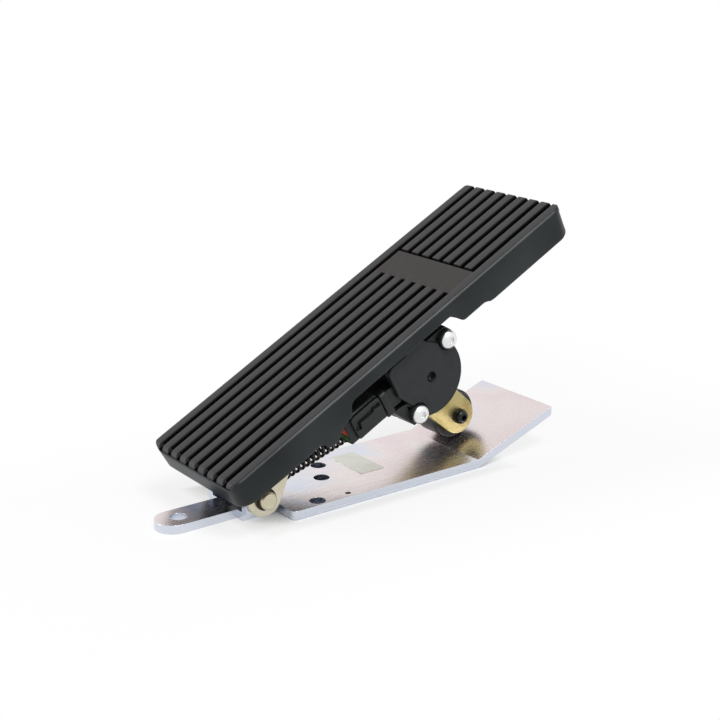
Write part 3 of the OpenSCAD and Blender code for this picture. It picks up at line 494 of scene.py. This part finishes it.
# %% The painted skirt
WALL, LIP_R = 3.2, 3.4
rim_s = plan_at(0.0, np.array(-1.5))[1]
low = np.interp(rim_s, LOWER_EDGE[:, 0], LOWER_EDGE[:, 1])
end_gap = np.clip(np.minimum(rim_s, BODY_LEN - rim_s), 0, LIP_R)
lip = -3.6 + 3.3 * np.sqrt(np.clip(1 - ((LIP_R - end_gap) / LIP_R) ** 2, 0, 1))
chamfer = ((1.24, 0), (1.14, 0.03), (0.2, 0.97), (0.08, 1.15), (0.02, 1.4))
wall_rows = [(1.3, np.minimum(lip - 0.4, -4.0)), (1.3, lip - 0.05)]
wall_rows += [(inset, lip - down) for inset, down in chamfer]
wall_rows += [(0.0, lip - 1.6 + (low + 2.4 - lip) * t) for t in np.linspace(0.0, 1, 9)]
wall_rows += [(0.1, low + 0.38), (0.32, low + 0.12), (0.8, low), (WALL - 0.7, low),
              (WALL - 0.2, low + 0.2), (WALL, low + 0.7), (WALL, 0 * low - 7.5),
              (WALL, 0 * low - 4.0)]
skirt_points = np.array([on_treadle(*plan_at(inset, n), n) for inset, n in wall_rows])
skirt = surface("painted_skirt", np.swapaxes(skirt_points, 0, 1), "treadle", BLACK_PAINT,
                ["treadle_body"], loop_u=True, sharp=60)
deck_rows = [(2.0, -4.0), (2.0, -7.2), (2.4, -7.6)]
deck_points = np.array([on_treadle(*plan_at(inset, np.array(n)), n) for inset, n in deck_rows])
deck = surface("painted_deck", deck_points, "treadle", BLACK_PAINT, caps=True)
print("skirt:", len(skirt.data.polygons), "faces; deck:", len(deck.data.polygons))

# %% [markdown]
# Each return spring is one wire: a hook round the hinge pin, a coil, and a hook round the pin on
# the lever. The wire's path is a list of points in the spring's own terms, u along its axis, v up
# and w across, and a circle is carried along that path. A curve with a round bevel gives the same
# wire, but its twist is hard to hold still.

# %% The springs' wire
WIRE_R, COIL_R, TURNS, HOOK_LEN = 0.9, 4.9, 24, 13.0
PIN_HOOK_R, LEVER_HOOK_R = 6.01, 3.6
SPRING_X = 8.0
SPRING_PIN = PIN_REACH * np.array([math.cos(PIN_ANGLE), -math.sin(PIN_ANGLE)])
axis = np.array([SHAFT_S - HINGE_S, HINGE_DEPTH - SHAFT_DEPTH]) + SPRING_PIN
SPAN = float(np.hypot(*axis))
axis = axis / SPAN


def spring_path():
    """Points of the wire, and at each the direction away from what it turns round."""
    heel_turn = np.radians(np.linspace(-70, -345, 60))
    toe_turn = np.radians(np.linspace(165, -110, 50))
    k = np.linspace(0, 1, TURNS * 28)
    a = math.pi / 2 + 2 * math.pi * TURNS * k
    flat = [np.stack([np.cos(t), np.sin(t), 0 * t], -1) for t in (heel_turn, toe_turn)]
    radial = np.stack([0 * k, np.sin(a), np.cos(a)], -1)
    coil = radial * COIL_R + np.stack([HOOK_LEN + (SPAN - 2 * HOOK_LEN) * k, 0 * k, 0 * k], -1)
    toe_hook = flat[1] * LEVER_HOOK_R + [SPAN, 0, 0]
    parts = [flat[0] * PIN_HOOK_R, coil, toe_hook]
    links = [np.linspace(parts[i][-1], parts[i + 1][0], 10)[1:-1] for i in (0, 1)]
    turns = (flat[0][-1], radial[0]), (radial[-1], flat[1][0])
    outs = [np.linspace(p, q, 10)[1:-1] for p, q in turns]
    path = np.concatenate([parts[0], links[0], parts[1], links[1], parts[2]])
    out = np.concatenate([flat[0], outs[0], radial, outs[1], flat[1]])
    near = np.zeros(len(path))
    for join in np.cumsum([len(part) for part in (parts[0], links[0], coil, links[1])]):
        near[join - 6:join + 6] = 1
    for _ in range(12):
        for line in (path, out):
            smooth = (line[:-2] + 2 * line[1:-1] + line[2:]) / 4
            line[1:-1] += near[1:-1, None] * (smooth - line[1:-1])
    return path, out


def wire_grid(path, out, radius, sides=12):
    """Circle round each point: path + radius (cos a n + sin a m), n and m square to the wire."""
    tangent = np.gradient(path, axis=0)
    tangent /= np.linalg.norm(tangent, axis=1)[:, None]
    n = out - np.sum(out * tangent, 1)[:, None] * tangent
    n /= np.linalg.norm(n, axis=1)[:, None]
    m = np.cross(tangent, n)
    a = np.linspace(0, 2 * math.pi, sides, endpoint=False)[None, :, None]
    return path[:, None] + radius * (np.cos(a) * n[:, None] + np.sin(a) * m[:, None])


print("spring axis:", round(SPAN, 1), "mm from pin to pin,", TURNS, "turns")

# %% [markdown]
# The same wire serves both springs, one on each side of the lever's hub.

# %% The two return springs
coil_grid = wire_grid(*spring_path(), WIRE_R)
u, v, w = np.moveaxis(coil_grid, -1, 0)
heel_end = on_treadle(0.0, HINGE_S, -HINGE_DEPTH)
toe_end = on_shaft(0.0, *SPRING_PIN)
for side, node in ((SPRING_X, "near_spring"), (-SPRING_X, "far_spring")):
    place = on_treadle(side + w, HINGE_S + u * axis[0] - v * axis[1],
                       -HINGE_DEPTH + u * axis[1] + v * axis[0])
    spring = surface(node.replace("_", "_coil_"), place, None, SPRING_BLACK, [node],
                     caps=True)
    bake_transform(spring)
print("springs:", len(spring.data.polygons), "faces each")

# %% [markdown]
# Turned pieces are an outline spun round an axis across the pedal. Where a piece has a star or a
# hexagon for the key, the outline's radius swells and shrinks round the circle at those rows, so
# the socket needs no boolean cut.

# %% Roller and shoulder bolt
def turned(name, centre, outline, body, material, replaces=(), lobes=6, sides=96, sharp=40):
    """Rows of x, r and swell: radius r (1 + swell cos(lobes a)) at angle a about the centre."""
    a = np.linspace(0, 2 * math.pi, sides, endpoint=False)
    x, r, swell = (np.array(outline)[:, i, None] for i in range(3))
    radius = r * (1 + swell * np.cos(lobes * a))
    spun = centre[1] + radius * np.cos(a), centre[2] + radius * np.sin(a)
    grid = MM * np.stack([x + 0 * a, *spun], -1)
    return surface(name, grid, body, material, replaces, caps=True, sharp=sharp)


roller_at = joint_at["roller_spin"]
tyre = [(-15.8, 6.1), (-15.8, 12.6), (-15.95, 13.0), (-16, 13.4), (-15.7, 13.95), (-15.2, 14.18),
        (-12, 14.2), (-2.4, 14.2), (0.8, 14.18), (1.3, 13.95), (1.6, 13.4), (1.55, 13.0),
        (1.4, 12.6), (1.4, 6.1)]
turned("moulded_roller", roller_at, [(x, r, 0) for x, r in tyre], "roller", ROLLER_NYLON,
       ["roller"])
bolt_rows = [(-27.4, 3.2, 0), (-27.2, 3.7, 0), (-26.8, 3.98, 0), (6.0, 3.98, 0), (6.0, 4.1, 0),
             (6.2, 4.4, 0), (8.0, 4.35, 0), (9.2, 4.1, 0), (10.0, 3.6, 0), (10.6, 3.0, 0),
             (10.9, 2.5, 0), (10.95, 2.1, 0), (10.9, 1.7, 0.07), (10.6, 1.55, 0.08),
             (8.3, 1.5, 0.08), (8.1, 0.2, 0)]
turned("shoulder_bolt", roller_at, bolt_rows, "lever", BLACK_OXIDE, ["roller_bolt"])
print("roller and bolt at", roller_at.round(2).tolist())

# %% [markdown]
# Two domed button screws hold the sensor, each on a moulded post. The dome is a short list of
# radii, and the star of the key is sunk into it by the swelling rows at the end.

# %% The sensor's screws
SCREWS_AT = {"upper": (18.9, 11.3), "lower": (-15.4, -13.6)}    # seen from the shaft
HEAD_X = 37.0
dome = [(0.0, 4.75), (0.15, 5.05), (0.55, 5.15), (1.0, 5.08), (1.6, 4.7), (2.2, 4.15),
        (2.75, 3.4), (3.1, 2.7), (3.25, 2.3)]
socket = [(3.2, 1.95, 0.11), (3.0, 1.8, 0.14), (1.6, 1.75, 0.14), (1.4, 0.2, 0)]
for label, at in SCREWS_AT.items():
    centre = on_shaft(0.0, *at) / MM
    rows = [(20.0, 2.4, 0), (HEAD_X, 2.4, 0)] + [(HEAD_X + x, r, 0) for x, r in dome]
    rows += [(HEAD_X + x, r, swell) for x, r, swell in socket]
    turned("button_screw_" + label, centre, rows, "treadle", SCREW_STEEL_PAINTED_LIT,
           ["sensor_screws"])
    post = [(20.0, 5.6, 0), (34.0, 5.3, 0), (36.5, 5.1, 0), (36.9, 4.9, 0), (HEAD_X, 4.6, 0)]
    turned("screw_post_" + label, centre, post, "treadle", NYLON)
print("screws and posts made at", list(SCREWS_AT.values()), "from the shaft")

# %% [markdown]
# The lever's arms are pressed from sheet. Their outline is star-shaped about the shaft: from
# there, each ray leaves the arm once. The outline is found by halving the distance along each ray
# until it meets the edge, and rings of it, drawn in a little, round the arm's edges. Circles and
# tangents could be joined by hand, but the halving also finds the corner where two links meet.

# %% The lever's two arms
def link_distance(p, a, ra, b, rb):
    """Distance to two circles joined by their outer tangents, below zero inside."""
    d = np.array(b, float) - a
    length = np.hypot(*d)
    e = d / length
    along, aside = (p - a) @ e, np.abs((p - a) @ np.array([-e[1], e[0]]))
    lean = (ra - rb) / length
    rise = math.sqrt(1 - lean ** 2)
    k = along * rise - aside * lean
    tangent = aside * rise + along * lean - ra
    first = np.hypot(along, aside) - ra
    second = np.hypot(along - length, aside) - rb
    return np.where(k < 0, first, np.where(k > length * rise, second, tangent))


def star_outline(distance, angles, far):
    """Edge point on each ray from the origin, by 40 halvings of [0, far]."""
    low_r, high_r = np.zeros_like(angles), np.full_like(angles, far)
    ray = np.stack([np.cos(angles), np.sin(angles)], -1)
    for _ in range(40):
        mid = (low_r + high_r) / 2
        inside = distance(ray * mid[:, None]) < 0
        low_r, high_r = np.where(inside, mid, low_r), np.where(inside, high_r, mid)
    return ray * low_r[:, None]


def sheet_rings(outline, x0, x1, edge):
    """Rings of a sheet with rounded edges: the outline drawn in by edge (1 - sin t)."""
    forward = np.roll(outline, -1, 0) - np.roll(outline, 1, 0)
    outward = np.stack([forward[:, 1], -forward[:, 0]], -1)
    outward /= np.linalg.norm(outward, axis=1)[:, None]
    t = np.radians([0, 30, 60, 90])
    inset = edge * (1 - np.sin(t))
    x = [*(x0 + edge * (1 - np.cos(t))), *(x1 - edge * (1 - np.cos(t[::-1])))]
    return [(place, outline - outward * d) for place, d in zip(x, [*inset, *inset[::-1]])]


pin_turn = PIN_ANGLE + LEVER_TURN
pin_place = PIN_REACH * np.array([math.cos(pin_turn), -math.sin(pin_turn)])


def arm_distance(p):
    """Inside either the long link to the roller or the short one to the spring pin."""
    long_link = link_distance(p, (0, 0), 12.0, (LEVER_LEN, 0), 10.7)
    return np.minimum(long_link, link_distance(p, (0, 0), 12.0, pin_place, 5.6))


spread = np.linspace(-1, 1, 720, endpoint=False)
arm_edge = star_outline(arm_distance, math.pi * np.sign(spread) * np.abs(spread) ** 1.7, 90.0)
for name, x0, x1 in (("near_lever_arm", 2.0, 6.0), ("far_lever_arm", -20.4, -16.4)):
    rings = np.array([on_lever(x, *edge.T) for x, edge in sheet_rings(arm_edge, x0, x1, 0.5)])
    arm = surface("pressed_" + name, rings, "lever", YELLOW_ZINC, [name], caps=True)
print("arms:", len(arm.data.polygons), "faces each, edge rounded 0.5 mm")

# %% [markdown]
# The sensor's cover is a disc that is squared at one corner and cut off straight beside its two
# screws. It is a polar grid: rings of points from the middle to the outline, then over the
# rounded rim. Where something is sunk into the face, the points there are simply lower, so a
# recess or a pocket needs no cut in the mesh.

# %% Flat moulded pieces seen from the side
def box_distance(p, centre, half, r):
    """Distance to a rectangle with round corners, below zero inside."""
    q = np.abs(p - np.array(centre)) - np.array(half) + r
    return np.hypot(*np.maximum(q, 0).T) + np.minimum(np.max(q, 1), 0) - r


def polygon_distance(p, corners, r=0.0):
    """The largest distance past any side of a convex outline (counter-clockwise), less r."""
    a = np.array(corners, float)
    side = np.roll(a, -1, 0) - a
    outward = np.stack([side[:, 1], -side[:, 0]], -1) / np.hypot(*side.T)[:, None]
    return np.max(np.einsum("pk,ek->pe", p, outward) - np.sum(a * outward, 1), 1) - r


def faced(name, centre, distance, front, back_x, material, replaces=(), sunk=None, step=0.5,
          edge=0.5, groove=0):
    """Polar grid about centre: rings every step to the outline, a rim rounded to edge, and the
    back. sunk(p) lowers the face at p, in mm, and groove=1 scores a fine line inside the rim."""
    rays = np.linspace(-math.pi, math.pi, 360, endpoint=False)
    outline = star_outline(lambda p: distance(p + centre), rays, 60.0)
    reach = np.hypot(*outline.T)
    unit = outline / reach[:, None]
    inner = reach - 3.4 * edge - 2 * groove
    rings = [(0.0, np.minimum(r, inner)) for r in np.arange(0.05, reach.max(), step)]
    rings += [(-0.2, reach - d) for d in (2.7, 2.3)] if groove else []
    rings += [(edge * (math.cos(t) - 1), reach - edge * (1 - math.sin(t)))
              for t in np.radians(range(0, 91, 15))]
    rings += [(back_x - front, reach), (back_x - front, reach * 0.01)]
    points = []
    for down, r in rings:
        p = unit * r[:, None] + centre
        low = sunk(p) if sunk is not None and down == 0.0 else 0.0
        points.append(on_shaft(front + down - low, *p.T))
    return surface(name, np.array(points), "treadle", material, replaces,
                   caps=True, sharp=50)


print("faced() is ready")

# %% [markdown]
# The cover has a round recess in the middle, with the end of the sensor's shaft in it. Under the
# cover sits the sensor's case. Beside each screw the case has a web with a small pocket, which
# keeps the moulding's walls even. The cover's outline is the largest of a few distances, which
# is the same as cutting shapes off each other.

# %% Sensor cover, case and webs
COVER_R, COVER_FACE, CASE_FACE, WEB_FACE, SCREW_CLEAR = 21.9, 36.0, 32.45, 34.4, 5.9
STRAIGHT_CUTS = ((-0.8926, -0.4507, 18.0), (0.7, 0.714, 18.4))    # outward direction and reach


def cover_distance(p, shrink=0.0):
    """Disc or squared corner, cut by two straight sides and clear of both screws."""
    corner = box_distance(p, (-8.6, 9.85), (12.7, 10.35), 4.5)
    shape = np.minimum(np.hypot(*p.T) - COVER_R, corner)
    for across, up_way, cut_reach in STRAIGHT_CUTS:
        shape = np.maximum(shape, p @ np.array([across, up_way]) - cut_reach)
    for at in SCREWS_AT.values():
        shape = np.maximum(shape, SCREW_CLEAR - np.hypot(*(p - at).T))
    return shape + shrink


def key_recess(p):
    """3 mm deep within 2.8 mm of (1, -1), with a flatted shaft end standing in it."""
    well = np.clip(0.5 - (np.hypot(*(p - [1.0, -1.0]).T) - 2.8) / 0.25, 0, 1)
    stub_distance = np.maximum(np.hypot(*(p - [0.1, -1.6]).T) - 1.3, p[:, 0] - 0.7)
    stub = np.clip(0.5 - stub_distance / 0.25, 0, 1)
    return 3.0 * well - 2.2 * stub


def pocket(corners, depth=3.0):
    """A convex pocket of that depth, its walls sloping over 0.4 mm."""
    return lambda p: depth * np.clip(0.5 - polygon_distance(p, corners) / 0.4, 0, 1)


cover = faced("cover_disc", (0.0, 0.0), cover_distance, COVER_FACE, 32.5, COVER_NYLON,
              ["sensor_cover"], key_recess, 0.22, 0.6, 1)
case = faced("sensor_case", (0.0, 0.0), lambda p: cover_distance(p, 0.7), CASE_FACE, 18.8, NYLON,
             ["sensor_housing"])
low_web = [(-27.4, -3.6), (-19.8, -18.9), (-13.0, -18.9), (-11.5, -10.0), (-18.5, -4.5)]
low_pocket = pocket([(-19.5, -16.3), (-15.2, -10.4), (-18.9, -6.6)])
faced("web_lower", (-18.0, -11.0), lambda p: polygon_distance(p, low_web), WEB_FACE, 20.0, NYLON,
      (), low_pocket, 0.25, 0.4)
high_web = [(7.0, 17.9), (9.0, 10.0), (16.0, 6.5), (23.5, 8.0), (24.5, 13.0), (21.7, 17.6)]
high_pocket = pocket([(13.6, 14.6), (16.4, 10.0), (20.0, 14.6)])
faced("web_upper", (15.5, 12.5), lambda p: polygon_distance(p, high_web), WEB_FACE, 20.0, NYLON,
      (), high_pocket, 0.25, 0.4)
print("cover:", len(cover.data.polygons), "faces; case:", len(case.data.polygons))

# %% [markdown]
# The connector is made of sleeves: a rectangle with round corners is carried lengthwise, and
# drawn in or let out on the way. The plug's mouth faces the heel, with a green seal and an orange
# lock in it. The socket of the sensor ends in a raised collar. A bevelled box would do for each
# step of the plug, but the sleeve has the steps and the roundings in one closed mesh.

# %% Connector and socket
def sleeve(name, rows, x0, x1, n0, n1, r, material, replaces=()):
    """For each (s, inset): the rectangle x0..x1 by n0..n1 with corners r, drawn in by inset."""
    turn = np.linspace(0, 2 * math.pi, 48, endpoint=False) + math.pi / 96
    points = []
    for at, inset in rows:
        round_r = max(r - inset, 0.25)
        half_x, half_n = (x1 - x0) / 2 - inset - round_r, (n1 - n0) / 2 - inset - round_r
        x = (x0 + x1) / 2 + np.sign(np.cos(turn)) * half_x + round_r * np.cos(turn)
        n = (n0 + n1) / 2 + np.sign(np.sin(turn)) * half_n + round_r * np.sin(turn)
        points.append(on_treadle(x, at, n))
    return surface(name, np.array(points), "treadle", material, replaces, caps=True,
                   sharp=50)


plug_rows = [(77.4, 1.5), (71.3, 1.4), (70.9, 1.2), (70.6, 0.9), (70.6, 0.5), (70.9, 0.12),
             (71.3, 0), (94.2, 0), (94.6, 0.4), (94.8, 1.5)]
collar_rows = [(90, 1.4), (95.4, 1.4), (95.5, 0.5), (95.8, 0.12), (96.3, 0), (99.6, 0),
               (100.2, 0.2), (100.6, 0.8), (100.7, 2.2), (106.0, 2.2), (112.0, 3.0)]
seal_rows = [(71.3, 0.6), (71.0, 0.4), (70.9, 0.9), (70.9, 2.6), (71.6, 2.8), (71.7, 3.3)]
lock_rows = [(76.0, 0), (71.4, 0), (71.0, 0.4), (70.9, 1.0)]
sleeve("plug_body", plug_rows, 15.0, 34.0, -34.6, -18.6, 2.2, NYLON,
       ["connector_plug"])
sleeve("socket_collar", collar_rows, 14.9, 35.6, -36.0, -20.4, 2.6, NYLON)
sleeve("seal_face", seal_rows, 17.0, 33.3, -33.6, -29.8, 1.6, SEAL,
       ["connector_seal"])
sleeve("lock_face", lock_rows, 17.0, 33.3, -29.6, -22.0, 1.4, LOCK,
       ["connector_lock"])
SLOT_PATH = np.array([(77.3, -27.3), (77.7, -24.2), (79.4, -24.0), (87.2, -24.0), (89.2, -22.9),
                      (92.2, -23.5)]) - [SHAFT_S, -SHAFT_DEPTH]


def latch_slot(p):
    """1.9 mm deep within 1.2 mm of the slot's path."""
    a, b = SLOT_PATH[:-1], SLOT_PATH[1:] - SLOT_PATH[:-1]
    t = np.clip(np.einsum("pek,ek->pe", p[:, None] - a, b) / np.sum(b * b, 1), 0, 1)
    away = np.min(np.linalg.norm(p[:, None] - a - t[..., None] * b, axis=-1), 1)
    return 1.9 * np.clip(0.5 - (away - 1.2) / 0.3, 0, 1)


faced("latch_frame", (-42.0, 5.5), lambda p: box_distance(p, (-42.3, 5.6), (9.9, 6.7), 1.3),
      36.0, 33.6, NYLON, ["connector_latch"], latch_slot, 0.25, 0.5)
print("connector made")

# %% [markdown]
# The other nodes keep their CAD shape, because flat sheet, pins and rivets show nothing more
# from close by. Each gets the finish of its real material; the rounded edges come from the
# finish itself.

# %% Finishes for the CAD nodes that stay
FINISHES = {
    "base_plate": CLEAR_ZINC, "plate_label": FILM, "hinge_pin": WARM_ZINC,
    "hinge_clips": DARK_STEEL, "hinge_bracket": WARM_ZINC, "bracket_rivets": BRIGHT_STEEL,
    "hinge_bushes": BRONZE, "pivot_housing": NYLON, "housing_screws": BRIGHT_STEEL,
    "shaft_bushes": BRONZE, "lever_hub": YELLOW_ZINC, "lever_shaft": BRIGHT_STEEL,
    "shaft_spacer": BRIGHT_STEEL, "spring_pin": BRIGHT_STEEL, "roller_nut": BRIGHT_STEEL,
    "roller_bush": BRONZE}
for node, finish in FINISHES.items():
    held = frame["nodes"][node]
    for held_slot in held.material_slots:
        held_slot.material = finish
print("finished", len(FINISHES), "CAD nodes")

# %% [markdown]
# The studio floor is a sheet of white paper. Where it lies close to the pedal it takes real
# shadow, and further out it fades into a plain white glow, so no horizon shows. Right under the
# plate the paper is painted dark, as painted shade, and shows only through the bolt holes.

# %% Floor
WHITE = colour("#ffffff")
PLATE_Y, PLATE_HALF_X, PLATE_HALF_Y = 0.11, 0.0308, 0.062    # metres, just inside the plate


def seen_directly(tree):
    """1 for rays from the camera, off a mirror or through glass; 0 for rays that only light."""
    ray = put(tree, "LightPath")
    seen = put(tree, "Math", {0: ray.outputs["Is Camera Ray"], 1: ray.outputs["Is Glossy Ray"]},
               operation="MAXIMUM")
    seen = put(tree, "Math", {0: seen.outputs["Value"], 1: ray.outputs["Is Transmission Ray"]},
               operation="MAXIMUM")
    return seen.outputs["Value"]


def white_paper():
    """Painted shade under the plate, then matte white, then glow: all by the distance from the
    plate's middle, counted in half widths and half lengths of the plate."""
    material, tree, out = new_finish("white paper floor")
    spot = put(tree, "TexCoord").outputs["Object"]
    spot = put(tree, "Mapping", {"Vector": spot, "Location": (0, -PLATE_Y / PLATE_HALF_Y, 0),
                                 "Scale": (1 / PLATE_HALF_X, 1 / PLATE_HALF_Y, 1)})
    spot = put(tree, "VectorMath", {0: spot.outputs["Vector"]}, operation="ABSOLUTE")
    part = put(tree, "SeparateXYZ", {"Vector": spot.outputs["Vector"]})
    away = put(tree, "Math", {0: part.outputs["X"], 1: part.outputs["Y"]},
               operation="MAXIMUM").outputs["Value"]
    # painted shade: the paper just inside the plate's outline is dark grey-blue
    tone = put(tree, "ValToRGB", {"Fac": away}, [(0.9, "#666a78"), (0.95, "#f4f4f4")])
    sheet = put(tree, "BsdfDiffuse", {"Color": tone.outputs["Color"]})
    glow = put(tree, "Emission", {"Color": WHITE, "Strength": 1.0})
    fade = put(tree, "MapRange", {"Value": away, "From Min": 0.98, "From Max": 1.4,
                                  "To Min": 0.0, "To Max": 0.8})
    far = put(tree, "MapRange", {"Value": away, "From Min": 1.4, "From Max": 5.0,
                                 "To Min": 0.0, "To Max": 0.2})
    fade = put(tree, "Math", {0: fade.outputs["Result"], 1: far.outputs["Result"]},
               operation="ADD")
    share = put(tree, "Math", {0: fade.outputs["Value"], 1: seen_directly(tree)},
                operation="MULTIPLY")
    mix = put(tree, "MixShader", {"Fac": share.outputs["Value"], 1: sheet.outputs["BSDF"],
                                  2: glow.outputs["Emission"]})
    tree.links.new(mix.outputs["Shader"], out.inputs["Surface"])
    return material


floor_mesh = bpy.data.meshes.new("floor")
floor_corners = [(-40, -40, 0), (40, -40, 0), (40, 40, 0), (-40, 40, 0)]
floor_mesh.from_pydata(floor_corners, [], [(0, 1, 2, 3)])
floor = bpy.data.objects.new("floor", floor_mesh)
floor.location.z = -0.0002
bpy.context.scene.collection.objects.link(floor)
paper = white_paper()
floor_mesh.materials.append(paper)
print("floor ready:", paper.name)

# %% [markdown]
# The world is white where it is seen and dimmer as a light, so that walls turned away from the
# lamps stay dark. One soft lamp hangs over the camera's side and lights the rib tops and the
# plate; a weaker one beyond the heel lights the heel wall and the tongue. A small lamp would
# leave hard shadows and glints, so both are squares half a metre wide.

# %% World and lights
world = bpy.data.worlds.new("studio")
bpy.context.scene.world = world
world.use_nodes = True
sky = world.node_tree
sky.nodes.clear()
level = put(sky, "MapRange", {"Value": seen_directly(sky), "To Min": 0.34, "To Max": 1.0})
backdrop = put(sky, "Background", {"Color": WHITE, "Strength": level.outputs["Result"]})
world_out = sky.nodes.new("ShaderNodeOutputWorld")
sky.links.new(backdrop.outputs["Background"], world_out.inputs["Surface"])


def soft_light(name, place, aim, size, watts):
    """A square area light at a place in metres, turned along place - aim."""
    lamp = bpy.data.lights.new(name, "AREA")
    lamp.size, lamp.energy = size, watts
    stand = bpy.data.objects.new(name, lamp)
    bpy.context.scene.collection.objects.link(stand)
    stand.location = place
    stand.rotation_mode = "QUATERNION"
    stand.rotation_quaternion = Vector(np.array(place, float) - aim).to_track_quat("Z", "Y")


soft_light("overhead", (0.6, 0.05, 1.15), (0, 0.1, 0.08), 0.5, 10.0)
soft_light("heel_side", (-0.5, -1.0, 0.35), (0, 0.0, 0.05), 0.5, 8.0)

# %% [markdown]
# The camera stands where the photograph's perspective puts it: 737 mm from a point beside the
# treadle's middle, and tilted a little. Its direction is worked out from two angles, and three
# vectors at right angles make its rotation. A constraint that tracks that point would leave out
# the tilt.

# %% Camera
AZIMUTH, ELEVATION, ROLL = math.radians(54.109), math.radians(17.229), -0.0063
DISTANCE, FILM_MM = 0.737, 36.0
PHOTO_PX, FOCAL_PX = 720, 1443.95    # the photo's width and the focal length found for it
back = np.array([math.sin(AZIMUTH) * math.cos(ELEVATION),
                 -math.cos(AZIMUTH) * math.cos(ELEVATION), math.sin(ELEVATION)])
right = np.cross([0, 0, 1], back)
right /= np.linalg.norm(right)
up = np.cross(back, right)
right, up = (math.cos(ROLL) * right + math.sin(ROLL) * up,
             math.cos(ROLL) * up - math.sin(ROLL) * right)
target = np.array([33.87, 90.0, 79.71]) * MM
lens = bpy.data.cameras.new("camera")
lens.sensor_width, lens.lens = FILM_MM, FOCAL_PX * FILM_MM / PHOTO_PX
lens.clip_start = 0.01
camera = bpy.data.objects.new("camera", lens)
bpy.context.scene.collection.objects.link(camera)
turn = Matrix(np.stack([right, up, back], -1).tolist()).to_4x4()
camera.matrix_world = Matrix.Translation((target + back * DISTANCE).tolist()) @ turn
bpy.context.scene.camera = camera
bpy.context.scene.view_settings.view_transform = "Standard"
print("camera at", [round(v, 3) for v in camera.matrix_world.translation])
